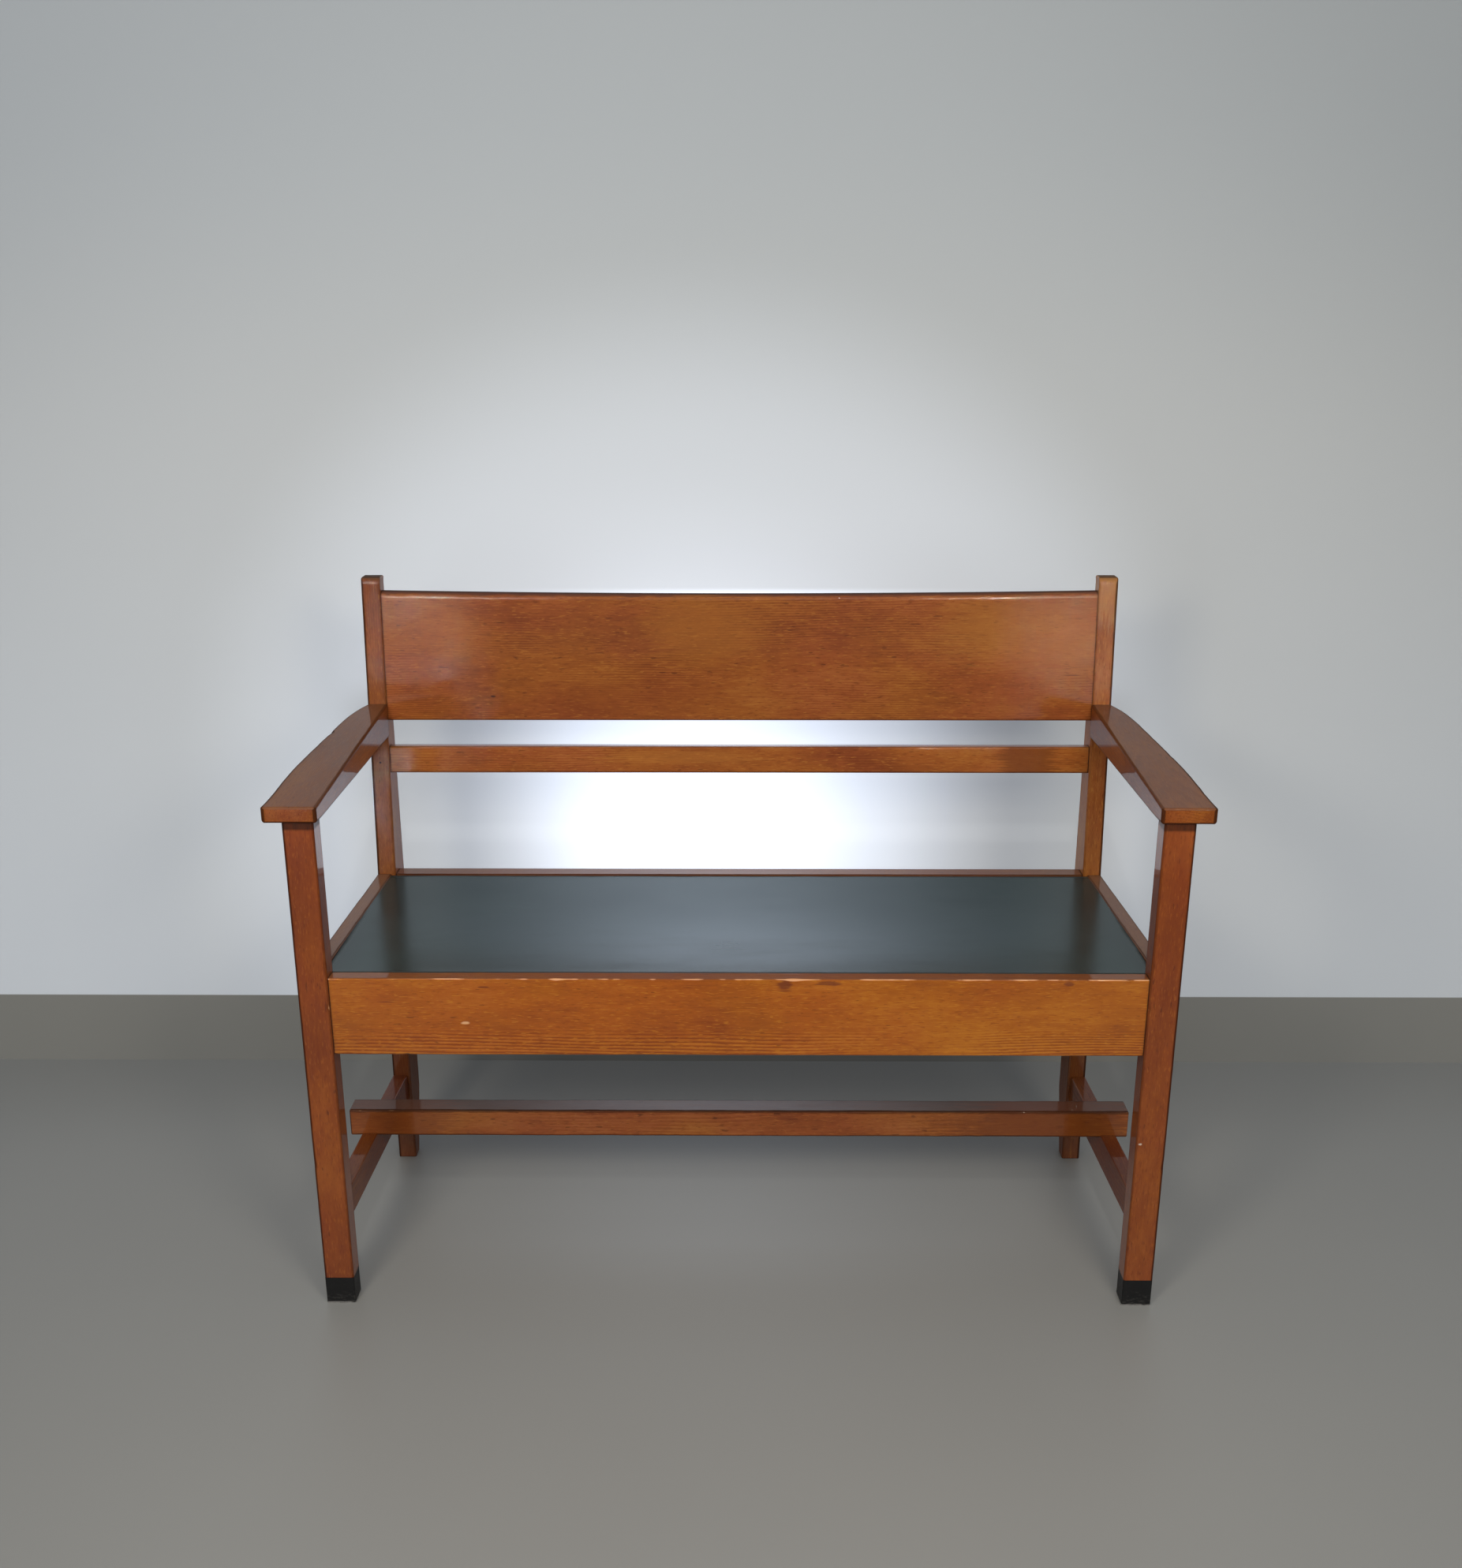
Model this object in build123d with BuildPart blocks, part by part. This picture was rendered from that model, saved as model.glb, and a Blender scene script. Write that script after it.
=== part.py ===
"""Two-seat hall settle: front legs, raked rear posts, arms, open back, drop-in seat, low stretchers.

Millimetres. X runs to the viewer's right, Y to the back, Z up. The origin is on the floor, in the
middle of the settle's width and depth. Every pair is built on the right and mirrored to the left.
"""

import os
from math import atan2, cos, sin

from build123d import *

os.makedirs("parts", exist_ok=True)

# The whole settle
legs_width = 1040.0
post_inset = 16.0
height = 860.0
seat_height = 448.5
leg_to_post = 344.5
arm_overhang_front = 5.0

# Front legs and their black sleeves
leg_width = 36.5
leg_depth = 27.0
leg_edge_round = 1.5
sleeve_height = 37.0
sleeve_wall = 1.0
sleeve_base = 2.0
sleeve_round = 1.2

# Rear posts
post_width = 25.5
post_depth = 51.5
post_top_depth = 23.0
post_foot_depth = 23.0
post_foot_cut_height = 93.0
post_edge_round = 2.0
post_top_round = 4.5

# Arms
arm_above_seat = 194.0
arm_front_thickness = 20.5
arm_rear_thickness = 46.5
arm_overhang_side = 22.0
arm_corner_round = 6.0
arm_top_round = 3.2
arm_under_round = 1.6
# points of the curved outer edge: shares of the arm's greatest reach outside the post, and of leg to post
arm_curve_shares = ((0.916, 0.218), (0.776, 0.488), (0.526, 0.778), (0.303, 0.949))

# Back board and the rail below it
# heights of the gap above the board, the board, the gap below it and the rail: shares of the back's rise
back_height_shares = (0.05225, 0.418, 0.0887, 0.0899)
back_panel_thickness = 18.0
back_panel_setback = 2.0
back_panel_top_round = 5.0
back_panel_under_round = 1.5
back_rail_thickness = 16.0
back_rail_setback = 3.0
back_rail_round = 2.0

# Seat frame
front_rail_height = 100.0
front_rail_thickness = 19.0
front_rail_setback = 2.0
front_rail_round = 2.0
side_rail_height = 80.0
side_rail_thickness = 19.5
side_rail_setback = 6.0
side_rail_round = 1.5
rear_rail_height = 80.0
rear_rail_thickness = 25.0
rear_rail_round = 1.5

# Drop-in seat
seat_drop = 1.0
seat_gap = 1.5
seat_board_thickness = 12.0
seat_cover_thickness = 2.5
seat_cover_round = 0.8

# Strips and blocks the drop-in seat rests on
ledger_width = 15.0
ledger_height = 18.0
ledger_end_gap = 2.0
block_reach_across = 75.0
block_reach_back = 78.0
block_height = 22.0

# Stretchers
side_stretcher_bottom = 93.0
side_stretcher_height = 42.0
side_stretcher_thickness = 20.5
side_stretcher_setback = 4.8
side_stretcher_round = 1.8
long_stretcher_overrun = 16.0
long_stretcher_height = 38.5
long_stretcher_depth = 31.0
long_stretcher_from_leg = 183.0
long_stretcher_round = 2.0
housing_depth = 3.5

# Joints
joint_clearance = 0.1
joint_end_gap = 1.0
front_rail_tenon_thickness = 8.0
front_rail_tenon_height = 66.0
front_rail_tenon_length = 24.0
rear_rail_tenon_thickness = 9.0
rear_rail_tenon_height = 26.0
rear_rail_tenon_length = 16.0
rear_rail_tenon_drop = 18.0
side_rail_tenon_thickness = 8.0
side_rail_leg_tenon_height = 50.0
side_rail_leg_tenon_length = 9.0
side_rail_post_tenon_height = 26.0
side_rail_post_tenon_length = 20.0
side_rail_post_tenon_lift = 18.0
side_stretcher_tenon_thickness = 9.0
side_stretcher_tenon_height = 26.0
side_stretcher_tenon_length = 15.0
back_panel_tenon_thickness = 8.0
back_panel_tenon_shoulder = 21.0
back_rail_tenon_thickness = 7.0
back_rail_tenon_shoulder = 6.5
leg_tenon_width = 18.0
leg_tenon_depth = 13.0
leg_tenon_height = 12.0
dowel_radius = 4.0
dowel_outer_wall = 4.0
dowel_inner_wall = 2.5
dowel_length = 42.0
dowel_in_post = 18.0
dowel_above_underside = 21.0

# Screws
screw_radius = 2.0
screw_head_radius = 4.0
screw_head_height = 2.4
screw_slot_width = 0.9
screw_slot_depth = 1.0
screw_clearance = 0.05
ledger_screw_length = 22.0
ledger_screw_sink = 4.0
ledger_screw_inset = 60.0
block_screw_length = 30.0
block_screw_sink = 18.0
block_screw_inset = 24.0
stretcher_screw_length = 44.0
stretcher_screw_sink = 14.0

# Where things stand
depth = arm_overhang_front + leg_to_post + post_depth
arm_front_y = -depth / 2
leg_front_y = arm_front_y + arm_overhang_front
leg_back_y = leg_front_y + leg_depth
post_front_y = leg_front_y + leg_to_post
post_back_y = post_front_y + post_depth
leg_outer_x = legs_width / 2
leg_inner_x = leg_outer_x - leg_width
post_outer_x = leg_outer_x - post_inset
post_inner_x = post_outer_x - post_width
arm_half_width_front = leg_outer_x + arm_overhang_side
arm_underside = seat_height + arm_above_seat
back_panel_drop, back_panel_height, back_rail_gap, back_rail_height = (
    share * (height - seat_height) for share in back_height_shares
)
back_panel_top = height - back_panel_drop
back_panel_bottom = back_panel_top - back_panel_height
back_rail_top = back_panel_bottom - back_rail_gap
back_rail_bottom = back_rail_top - back_rail_height
rake = atan2(post_depth - post_top_depth, height - seat_height)
rake_plane = Plane(
    origin=(0, post_front_y, seat_height),
    x_dir=(1, 0, 0),
    z_dir=(0, -cos(rake), sin(rake)),
)
front_rail_front_y = leg_front_y + front_rail_setback
front_rail_back_y = front_rail_front_y + front_rail_thickness
seat_underside = seat_height - seat_drop - seat_cover_thickness - seat_board_thickness
long_stretcher_front_y = leg_front_y + long_stretcher_from_leg
side_stretcher_top = side_stretcher_bottom + side_stretcher_height


def along_rake(level: float) -> float:
    """Distance up the raked front of the post from the seat to a level above the floor."""
    return (level - seat_height) / cos(rake)


def post_front_at(level: float) -> float:
    """How far back the raked front of the post stands at a level above the seat."""
    return post_front_y + (level - seat_height) * (post_depth - post_top_depth) / (height - seat_height)


def between(y: float, at_leg: float, at_post: float) -> float:
    """X of a straight edge that runs from the back of the leg to the front of the post."""
    share = (y - leg_back_y) / (post_front_y - leg_back_y)
    return at_leg + (at_post - at_leg) * share


def side_rail_inner(y: float) -> float:
    """X of the inner face of the side seat rail."""
    return between(y, leg_outer_x - side_rail_setback, post_outer_x) - side_rail_thickness


def side_stretcher_middle(y: float) -> float:
    """X of the middle of the side stretcher's thickness."""
    return between(y, leg_outer_x - side_stretcher_setback, post_outer_x) - side_stretcher_thickness / 2


stretcher_crossing_y = long_stretcher_front_y + long_stretcher_depth / 2
crossing_outer_x = side_stretcher_middle(stretcher_crossing_y) + side_stretcher_thickness / 2
stretcher_reach = crossing_outer_x + long_stretcher_overrun


def joint_block(plane: Plane, size: tuple, clearance: float = 0, end_gap: float = 0) -> Part:
    """A tenon of (thickness, height, length) standing on a plane, or with clearance its mortise."""
    thickness, tall, length = size
    with BuildPart() as block:
        with BuildSketch(plane):
            Rectangle(thickness + 2 * clearance, tall + 2 * clearance)
        extrude(amount=length + end_gap)
    return block.part


def mortise(plane: Plane, size: tuple) -> Part:
    """The hole that takes a tenon of the same size."""
    return joint_block(plane, size, joint_clearance, joint_end_gap)


def across_plane(x: float, y: float, z: float) -> Plane:
    """A shoulder that faces right, its first axis to the back and its second up."""
    return Plane(origin=(x, y, z), x_dir=(0, 1, 0), z_dir=(1, 0, 0))


def forward_plane(x: float, y: float, z: float) -> Plane:
    """A shoulder that faces the front, its second axis up."""
    return Plane(origin=(x, y, z), x_dir=(1, 0, 0), z_dir=(0, -1, 0))


def backward_plane(x: float, y: float, z: float) -> Plane:
    """A shoulder that faces the back, its second axis up."""
    return Plane(origin=(x, y, z), x_dir=(-1, 0, 0), z_dir=(0, 1, 0))


def raked_shoulder(level: float, setback: float, thickness: float) -> Plane:
    """A shoulder on the post's inner face, square to the raked back."""
    back = setback + thickness / 2
    up = along_rake(level)
    y = post_front_y + up * sin(rake) + back * cos(rake)
    z = seat_height + up * cos(rake) - back * sin(rake)
    return Plane(origin=(post_inner_x, y, z), x_dir=(0, cos(rake), -sin(rake)), z_dir=(1, 0, 0))


# Tenons, as thickness, height and length
front_rail_tenon = (front_rail_tenon_thickness, front_rail_tenon_height, front_rail_tenon_length)
rear_rail_tenon = (rear_rail_tenon_thickness, rear_rail_tenon_height, rear_rail_tenon_length)
side_rail_leg_tenon = (side_rail_tenon_thickness, side_rail_leg_tenon_height, side_rail_leg_tenon_length)
side_rail_post_tenon = (side_rail_tenon_thickness, side_rail_post_tenon_height, side_rail_post_tenon_length)
side_stretcher_tenon = (
    side_stretcher_tenon_thickness,
    side_stretcher_tenon_height,
    side_stretcher_tenon_length,
)
back_tenon_length = post_width - dowel_outer_wall - 2 * dowel_radius - dowel_inner_wall
back_panel_tenon = (
    back_panel_tenon_thickness,
    back_panel_height - 2 * back_panel_tenon_shoulder,
    back_tenon_length,
)
back_rail_tenon = (
    back_rail_tenon_thickness,
    back_rail_height - 2 * back_rail_tenon_shoulder,
    back_tenon_length,
)

# Shoulders shared by a tenon and its mortise
front_rail_shoulder = across_plane(
    leg_inner_x, front_rail_front_y + front_rail_thickness / 2, seat_height - front_rail_height / 2
)
rear_rail_shoulder = across_plane(
    post_inner_x,
    post_front_y + rear_rail_thickness / 2,
    seat_height - rear_rail_height / 2 - rear_rail_tenon_drop,
)
side_rail_leg_shoulder = forward_plane(
    side_rail_inner(leg_back_y) + side_rail_thickness / 2, leg_back_y, seat_height - side_rail_height / 2
)
side_rail_post_shoulder = backward_plane(
    side_rail_inner(post_front_y) + side_rail_thickness / 2,
    post_front_y,
    seat_height - side_rail_height / 2 + side_rail_post_tenon_lift,
)
stretcher_leg_shoulder = forward_plane(
    side_stretcher_middle(leg_back_y), leg_back_y, side_stretcher_bottom + side_stretcher_height / 2
)
stretcher_post_shoulder = backward_plane(
    side_stretcher_middle(post_front_y), post_front_y, side_stretcher_bottom + side_stretcher_height / 2
)
back_panel_shoulder = raked_shoulder(
    (back_panel_bottom + back_panel_top) / 2, back_panel_setback, back_panel_thickness
)
back_rail_shoulder = raked_shoulder(
    (back_rail_bottom + back_rail_top) / 2, back_rail_setback, back_rail_thickness
)

# Screw seats: the origin is under the head and the normal points out of the wood
dowel_level = arm_underside + dowel_above_underside
dowel_plane = Plane(
    origin=(post_outer_x - dowel_outer_wall - dowel_radius, post_front_at(dowel_level), dowel_level),
    x_dir=(1, 0, 0),
    z_dir=(0, -cos(rake), sin(rake)),
)
stretcher_screw_plane = Plane(
    origin=(
        side_stretcher_middle(stretcher_crossing_y),
        stretcher_crossing_y,
        side_stretcher_bottom + stretcher_screw_sink,
    ),
    x_dir=(1, 0, 0),
    z_dir=(0, 0, -1),
)


def screw_hole(plane: Plane, length: float, sink: float) -> Part:
    """The hole for a screw: its shank below the plane and a bore for the head above it."""
    with BuildPart(plane) as hole:
        below = (Align.CENTER, Align.CENTER, Align.MAX)
        above = (Align.CENTER, Align.CENTER, Align.MIN)
        Cylinder(screw_radius + screw_clearance, length + joint_end_gap, align=below)
        Cylinder(screw_head_radius + joint_clearance, sink, align=above)
    return hole.part


def screw(plane: Plane, length: float) -> BuildPart:
    """A slotted wood screw whose head rests on the plane."""
    with BuildPart(plane) as body:
        Cylinder(screw_radius, length, align=(Align.CENTER, Align.CENTER, Align.MAX))
        Cylinder(screw_head_radius, screw_head_height, align=(Align.CENTER, Align.CENTER, Align.MIN))
        with Locations((0, 0, screw_head_height)):
            Box(
                screw_head_radius * 3,
                screw_slot_width,
                screw_slot_depth * 2,
                mode=Mode.SUBTRACT,
            )
    return body


def dowel_hole() -> Part:
    """The hole for the arm's dowel, in the post below the plane and in the arm above it."""
    in_arm = dowel_length - dowel_in_post + joint_end_gap
    with BuildPart(dowel_plane) as hole:
        Cylinder(dowel_radius + screw_clearance, dowel_in_post, align=(Align.CENTER, Align.CENTER, Align.MAX))
        Cylinder(dowel_radius + screw_clearance, in_arm, align=(Align.CENTER, Align.CENTER, Align.MIN))
    return hole.part


def seat_outline(inset: float) -> list:
    """Corners of the drop-in seat on the right half, from the front to the back."""
    leg_corner_y = leg_back_y + inset
    rear_y = post_front_y - inset
    return [
        (leg_inner_x - inset, front_rail_back_y + inset),
        (leg_inner_x - inset, leg_corner_y),
        (side_rail_inner(leg_corner_y) - inset, leg_corner_y),
        (side_rail_inner(rear_y) - inset, rear_y),
    ]


def build_front_leg() -> BuildPart:
    """Right front leg, thinned inside its sleeve, with a tenon for the arm."""
    x = leg_outer_x - leg_width / 2
    y = leg_front_y + leg_depth / 2
    with BuildPart() as leg:
        with BuildSketch(Plane.XY.offset(sleeve_height)):
            with Locations((x, y)):
                Rectangle(leg_width, leg_depth)
        extrude(amount=arm_underside - sleeve_height)
        fillet(leg.edges().filter_by(Axis.Z), leg_edge_round)
        with BuildSketch(Plane.XY.offset(sleeve_base)):
            with Locations((x, y)):
                Rectangle(leg_width - 2 * sleeve_wall, leg_depth - 2 * sleeve_wall)
        extrude(amount=sleeve_height - sleeve_base)
        with BuildSketch(Plane.XY.offset(arm_underside)):
            with Locations((x, y)):
                Rectangle(leg_tenon_width, leg_tenon_depth)
        extrude(amount=leg_tenon_height)
        add(mortise(front_rail_shoulder, front_rail_tenon), mode=Mode.SUBTRACT)
        add(mortise(side_rail_leg_shoulder, side_rail_leg_tenon), mode=Mode.SUBTRACT)
        add(mortise(stretcher_leg_shoulder, side_stretcher_tenon), mode=Mode.SUBTRACT)
    return leg


def build_foot_sleeve() -> BuildPart:
    """Right black sleeve, flush with the leg above it and closed under the foot."""
    x = leg_outer_x - leg_width / 2
    y = leg_front_y + leg_depth / 2
    with BuildPart() as sleeve:
        with BuildSketch():
            with Locations((x, y)):
                Rectangle(leg_width, leg_depth)
        extrude(amount=sleeve_height)
        fillet(sleeve.edges().filter_by(Axis.Z), leg_edge_round)
        fillet(sleeve.faces().sort_by(Axis.Z)[0].edges(), sleeve_round)
        with BuildSketch(Plane.XY.offset(sleeve_base)):
            with Locations((x, y)):
                Rectangle(leg_width - 2 * sleeve_wall, leg_depth - 2 * sleeve_wall)
        extrude(amount=sleeve_height, mode=Mode.SUBTRACT)
    return sleeve


def build_rear_post() -> BuildPart:
    """Right rear post, sawn from one board: raked in front above the seat, its foot cut at the back."""
    with BuildPart() as post:
        with BuildSketch(Plane.YZ.offset(post_inner_x)):
            with BuildLine():
                Polyline(
                    (post_front_y, 0),
                    (post_front_y, seat_height),
                    (post_back_y - post_top_depth, height),
                    (post_back_y, height),
                    (post_back_y, post_foot_cut_height),
                    (post_front_y + post_foot_depth, 0),
                    close=True,
                )
            make_face()
        extrude(amount=post_width)
        fillet(post.faces().sort_by(Axis.Z)[-1].edges(), post_top_round)
        sides = post.faces().filter_by(Axis.X)
        ground = post.faces().sort_by(Axis.Z)[0]
        long_edges = sides.edges() - ground.edges()
        fillet(long_edges, post_edge_round)
        add(mortise(rear_rail_shoulder, rear_rail_tenon), mode=Mode.SUBTRACT)
        add(mortise(side_rail_post_shoulder, side_rail_post_tenon), mode=Mode.SUBTRACT)
        add(mortise(stretcher_post_shoulder, side_stretcher_tenon), mode=Mode.SUBTRACT)
        add(mortise(back_panel_shoulder, back_panel_tenon), mode=Mode.SUBTRACT)
        add(mortise(back_rail_shoulder, back_rail_tenon), mode=Mode.SUBTRACT)
        add(dowel_hole(), mode=Mode.SUBTRACT)
    return post


def build_armrest() -> BuildPart:
    """Right arm: straight inside, curved outside, flat below, its top rising towards the post."""
    rear_low_y = post_front_at(arm_underside)
    rear_top = arm_underside + arm_rear_thickness
    rear_top_y = post_front_at(rear_top)
    reach = arm_half_width_front - post_outer_x
    curve = [(post_outer_x + out * reach, leg_front_y + back * leg_to_post) for out, back in arm_curve_shares]
    with BuildPart() as arm:
        with BuildSketch(Plane.XY.offset(arm_underside)):
            with BuildLine():
                Line((post_inner_x, rear_top_y), (post_inner_x, arm_front_y))
                Line((post_inner_x, arm_front_y), (arm_half_width_front, arm_front_y))
                Spline((arm_half_width_front, arm_front_y), *curve, (post_outer_x, rear_top_y))
                Line((post_outer_x, rear_top_y), (post_inner_x, rear_top_y))
            make_face()
        extrude(amount=arm_rear_thickness)
        with BuildSketch(Plane.YZ):
            with BuildLine():
                Polyline(
                    (arm_front_y, arm_underside),
                    (rear_low_y, arm_underside),
                    (rear_top_y, rear_top),
                    (arm_front_y, arm_underside + arm_front_thickness),
                    close=True,
                )
            make_face()
        extrude(amount=arm_half_width_front * 2, mode=Mode.INTERSECT)
        front_face = arm.faces().sort_by(Axis.Y)[0]
        fillet(front_face.edges().filter_by(Axis.Z), arm_corner_round)
        top_face = arm.faces().sort_by(Axis.Z)[-1]
        rear_edge = top_face.edges().sort_by(Axis.Y)[-1]
        fillet(top_face.edges() - ShapeList([rear_edge]), arm_top_round)
        under_face = arm.faces().sort_by(Axis.Z)[0]
        rear_edge = under_face.edges().sort_by(Axis.Y)[-1]
        fillet(under_face.edges() - ShapeList([rear_edge]), arm_under_round)
        with BuildSketch(Plane.XY.offset(arm_underside)):
            with Locations((leg_outer_x - leg_width / 2, leg_front_y + leg_depth / 2)):
                Rectangle(leg_tenon_width + 2 * joint_clearance, leg_tenon_depth + 2 * joint_clearance)
        extrude(amount=leg_tenon_height + joint_end_gap, mode=Mode.SUBTRACT)
        add(dowel_hole(), mode=Mode.SUBTRACT)
    return arm


def build_arm_dowel() -> BuildPart:
    """Right dowel between the arm and the post."""
    with BuildPart(dowel_plane.offset(-dowel_in_post)) as dowel:
        Cylinder(dowel_radius, dowel_length, align=(Align.CENTER, Align.CENTER, Align.MIN))
    return dowel


def raked_board(bottom: float, top: float, setback: float, thickness: float) -> Part:
    """A board between the posts that stands parallel to their raked front."""
    low = along_rake(bottom)
    high = along_rake(top)
    with BuildPart() as board:
        with BuildSketch(rake_plane.offset(-setback)):
            with Locations((0, (low + high) / 2)):
                Rectangle(post_inner_x * 2, high - low)
        extrude(amount=-thickness)
    return board.part


def build_back_panel() -> BuildPart:
    """Wide back board with a rounded top edge and a tenon in each post."""
    with BuildPart() as panel:
        add(raked_board(back_panel_bottom, back_panel_top, back_panel_setback, back_panel_thickness))
        lengthways = panel.edges().filter_by(Axis.X)
        fillet(lengthways.sort_by(Axis.Z)[-2:], back_panel_top_round)
        fillet(panel.edges().filter_by(Axis.X).sort_by(Axis.Z)[:2], back_panel_under_round)
        add(joint_block(back_panel_shoulder, back_panel_tenon))
        add(mirror(joint_block(back_panel_shoulder, back_panel_tenon), about=Plane.YZ))
    return panel


def build_lower_back_rail() -> BuildPart:
    """Narrow back rail with a tenon in each post."""
    with BuildPart() as rail:
        add(raked_board(back_rail_bottom, back_rail_top, back_rail_setback, back_rail_thickness))
        fillet(rail.edges().filter_by(Axis.X), back_rail_round)
        add(joint_block(back_rail_shoulder, back_rail_tenon))
        add(mirror(joint_block(back_rail_shoulder, back_rail_tenon), about=Plane.YZ))
    return rail


def ledger_screw_planes() -> dict:
    """Seats of the right-hand ledger screws: front and rear run lengthways, the side one across."""
    level = seat_underside - ledger_height / 2
    front_y = front_rail_back_y + ledger_width - ledger_screw_sink
    rear_y = post_front_y - ledger_width + ledger_screw_sink
    long_x = leg_inner_x - block_reach_across - ledger_screw_inset
    seats = {
        "front_right": Plane(origin=(long_x, front_y, level), x_dir=(1, 0, 0), z_dir=(0, 1, 0)),
        "rear_right": Plane(origin=(long_x, rear_y, level), x_dir=(1, 0, 0), z_dir=(0, -1, 0)),
    }
    near = leg_back_y + block_reach_back + ledger_screw_inset / 2
    far = post_front_y - block_reach_back - ledger_screw_inset / 2
    for name, y in (("side_near_right", near), ("side_far_right", far)):
        x = side_rail_inner(y) - ledger_width + ledger_screw_sink
        seats[name] = Plane(origin=(x, y, level), x_dir=(0, 1, 0), z_dir=(-1, 0, 0))
    return seats


def block_screw_planes() -> dict:
    """Seats of the right-hand corner block screws, one into the cross rail and one into the side rail."""
    level = seat_underside - block_height / 2
    seats = {}
    across_x = leg_inner_x - block_screw_inset
    seats["front_cross_right"] = Plane(
        origin=(across_x, front_rail_back_y + block_screw_sink, level), x_dir=(1, 0, 0), z_dir=(0, 1, 0)
    )
    seats["rear_cross_right"] = Plane(
        origin=(across_x, post_front_y - block_screw_sink, level), x_dir=(1, 0, 0), z_dir=(0, -1, 0)
    )
    near = leg_back_y + block_screw_inset * 2
    far = post_front_y - block_screw_inset * 2
    for name, y in (("front_side_right", near), ("rear_side_right", far)):
        x = side_rail_inner(y) - block_screw_sink
        seats[name] = Plane(origin=(x, y, level), x_dir=(0, 1, 0), z_dir=(-1, 0, 0))
    return seats


ledger_screws = ledger_screw_planes()
block_screws = block_screw_planes()


def cut_screws(names: tuple, seats: dict, length: float) -> Part:
    """The joined holes of some right-hand screws and of their mirror images."""
    with BuildPart() as holes:
        for name in names:
            hole = screw_hole(seats[name], length, length)
            add(hole)
            add(mirror(hole, about=Plane.YZ))
    return holes.part


def build_front_seat_rail() -> BuildPart:
    """Deep rail between the front legs."""
    with BuildPart() as rail:
        with BuildSketch(Plane.XY.offset(seat_height)):
            with Locations((0, front_rail_front_y + front_rail_thickness / 2)):
                Rectangle(leg_inner_x * 2, front_rail_thickness)
        extrude(amount=-front_rail_height)
        fillet(rail.edges().filter_by(Axis.X), front_rail_round)
        add(joint_block(front_rail_shoulder, front_rail_tenon))
        add(mirror(joint_block(front_rail_shoulder, front_rail_tenon), about=Plane.YZ))
        add(cut_screws(("front_right",), ledger_screws, ledger_screw_length), mode=Mode.SUBTRACT)
        add(cut_screws(("front_cross_right",), block_screws, block_screw_length), mode=Mode.SUBTRACT)
    return rail


def build_rear_seat_rail() -> BuildPart:
    """Rail between the rear posts, its front face level with theirs."""
    with BuildPart() as rail:
        with BuildSketch(Plane.XY.offset(seat_height)):
            with Locations((0, post_front_y + rear_rail_thickness / 2)):
                Rectangle(post_inner_x * 2, rear_rail_thickness)
        extrude(amount=-rear_rail_height)
        fillet(rail.edges().filter_by(Axis.X), rear_rail_round)
        add(joint_block(rear_rail_shoulder, rear_rail_tenon))
        add(mirror(joint_block(rear_rail_shoulder, rear_rail_tenon), about=Plane.YZ))
        add(cut_screws(("rear_right",), ledger_screws, ledger_screw_length), mode=Mode.SUBTRACT)
        add(cut_screws(("rear_cross_right",), block_screws, block_screw_length), mode=Mode.SUBTRACT)
    return rail


def build_side_seat_rail() -> BuildPart:
    """Right side rail, set in at the leg and level with the outside of the post."""
    front_inner = side_rail_inner(leg_back_y)
    rear_inner = side_rail_inner(post_front_y)
    with BuildPart() as rail:
        with BuildSketch(Plane.XY.offset(seat_height)):
            with BuildLine():
                Polyline(
                    (front_inner, leg_back_y),
                    (front_inner + side_rail_thickness, leg_back_y),
                    (rear_inner + side_rail_thickness, post_front_y),
                    (rear_inner, post_front_y),
                    close=True,
                )
            make_face()
        extrude(amount=-side_rail_height)
        lengthways = rail.faces().sort_by(Axis.Z)[-1].edges().sort_by(Axis.X)
        under = rail.faces().sort_by(Axis.Z)[0].edges().sort_by(Axis.X)
        fillet([lengthways[0], lengthways[-1], under[0], under[-1]], side_rail_round)
        add(joint_block(side_rail_leg_shoulder, side_rail_leg_tenon))
        add(joint_block(side_rail_post_shoulder, side_rail_post_tenon))
        names = ("side_near_right", "side_far_right")
        add(cut_screws(names, ledger_screws, ledger_screw_length), mode=Mode.SUBTRACT)
        names = ("front_side_right", "rear_side_right")
        add(cut_screws(names, block_screws, block_screw_length), mode=Mode.SUBTRACT)
    return rail


def build_side_stretcher() -> BuildPart:
    """Right side stretcher from the front leg to the rear post."""
    half = side_stretcher_thickness / 2
    front_x = side_stretcher_middle(leg_back_y)
    rear_x = side_stretcher_middle(post_front_y)
    with BuildPart() as stretcher:
        with BuildSketch(Plane.XY.offset(side_stretcher_bottom)):
            with BuildLine():
                Polyline(
                    (front_x - half, leg_back_y),
                    (front_x + half, leg_back_y),
                    (rear_x + half, post_front_y),
                    (rear_x - half, post_front_y),
                    close=True,
                )
            make_face()
        extrude(amount=side_stretcher_height)
        top = stretcher.faces().sort_by(Axis.Z)[-1].edges().sort_by(Axis.X)
        under = stretcher.faces().sort_by(Axis.Z)[0].edges().sort_by(Axis.X)
        fillet([top[0], top[-1], under[0], under[-1]], side_stretcher_round)
        add(joint_block(stretcher_leg_shoulder, side_stretcher_tenon))
        add(joint_block(stretcher_post_shoulder, side_stretcher_tenon))
        add(screw_hole(stretcher_screw_plane, stretcher_screw_length, stretcher_screw_sink), mode=Mode.SUBTRACT)
    return stretcher


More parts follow.
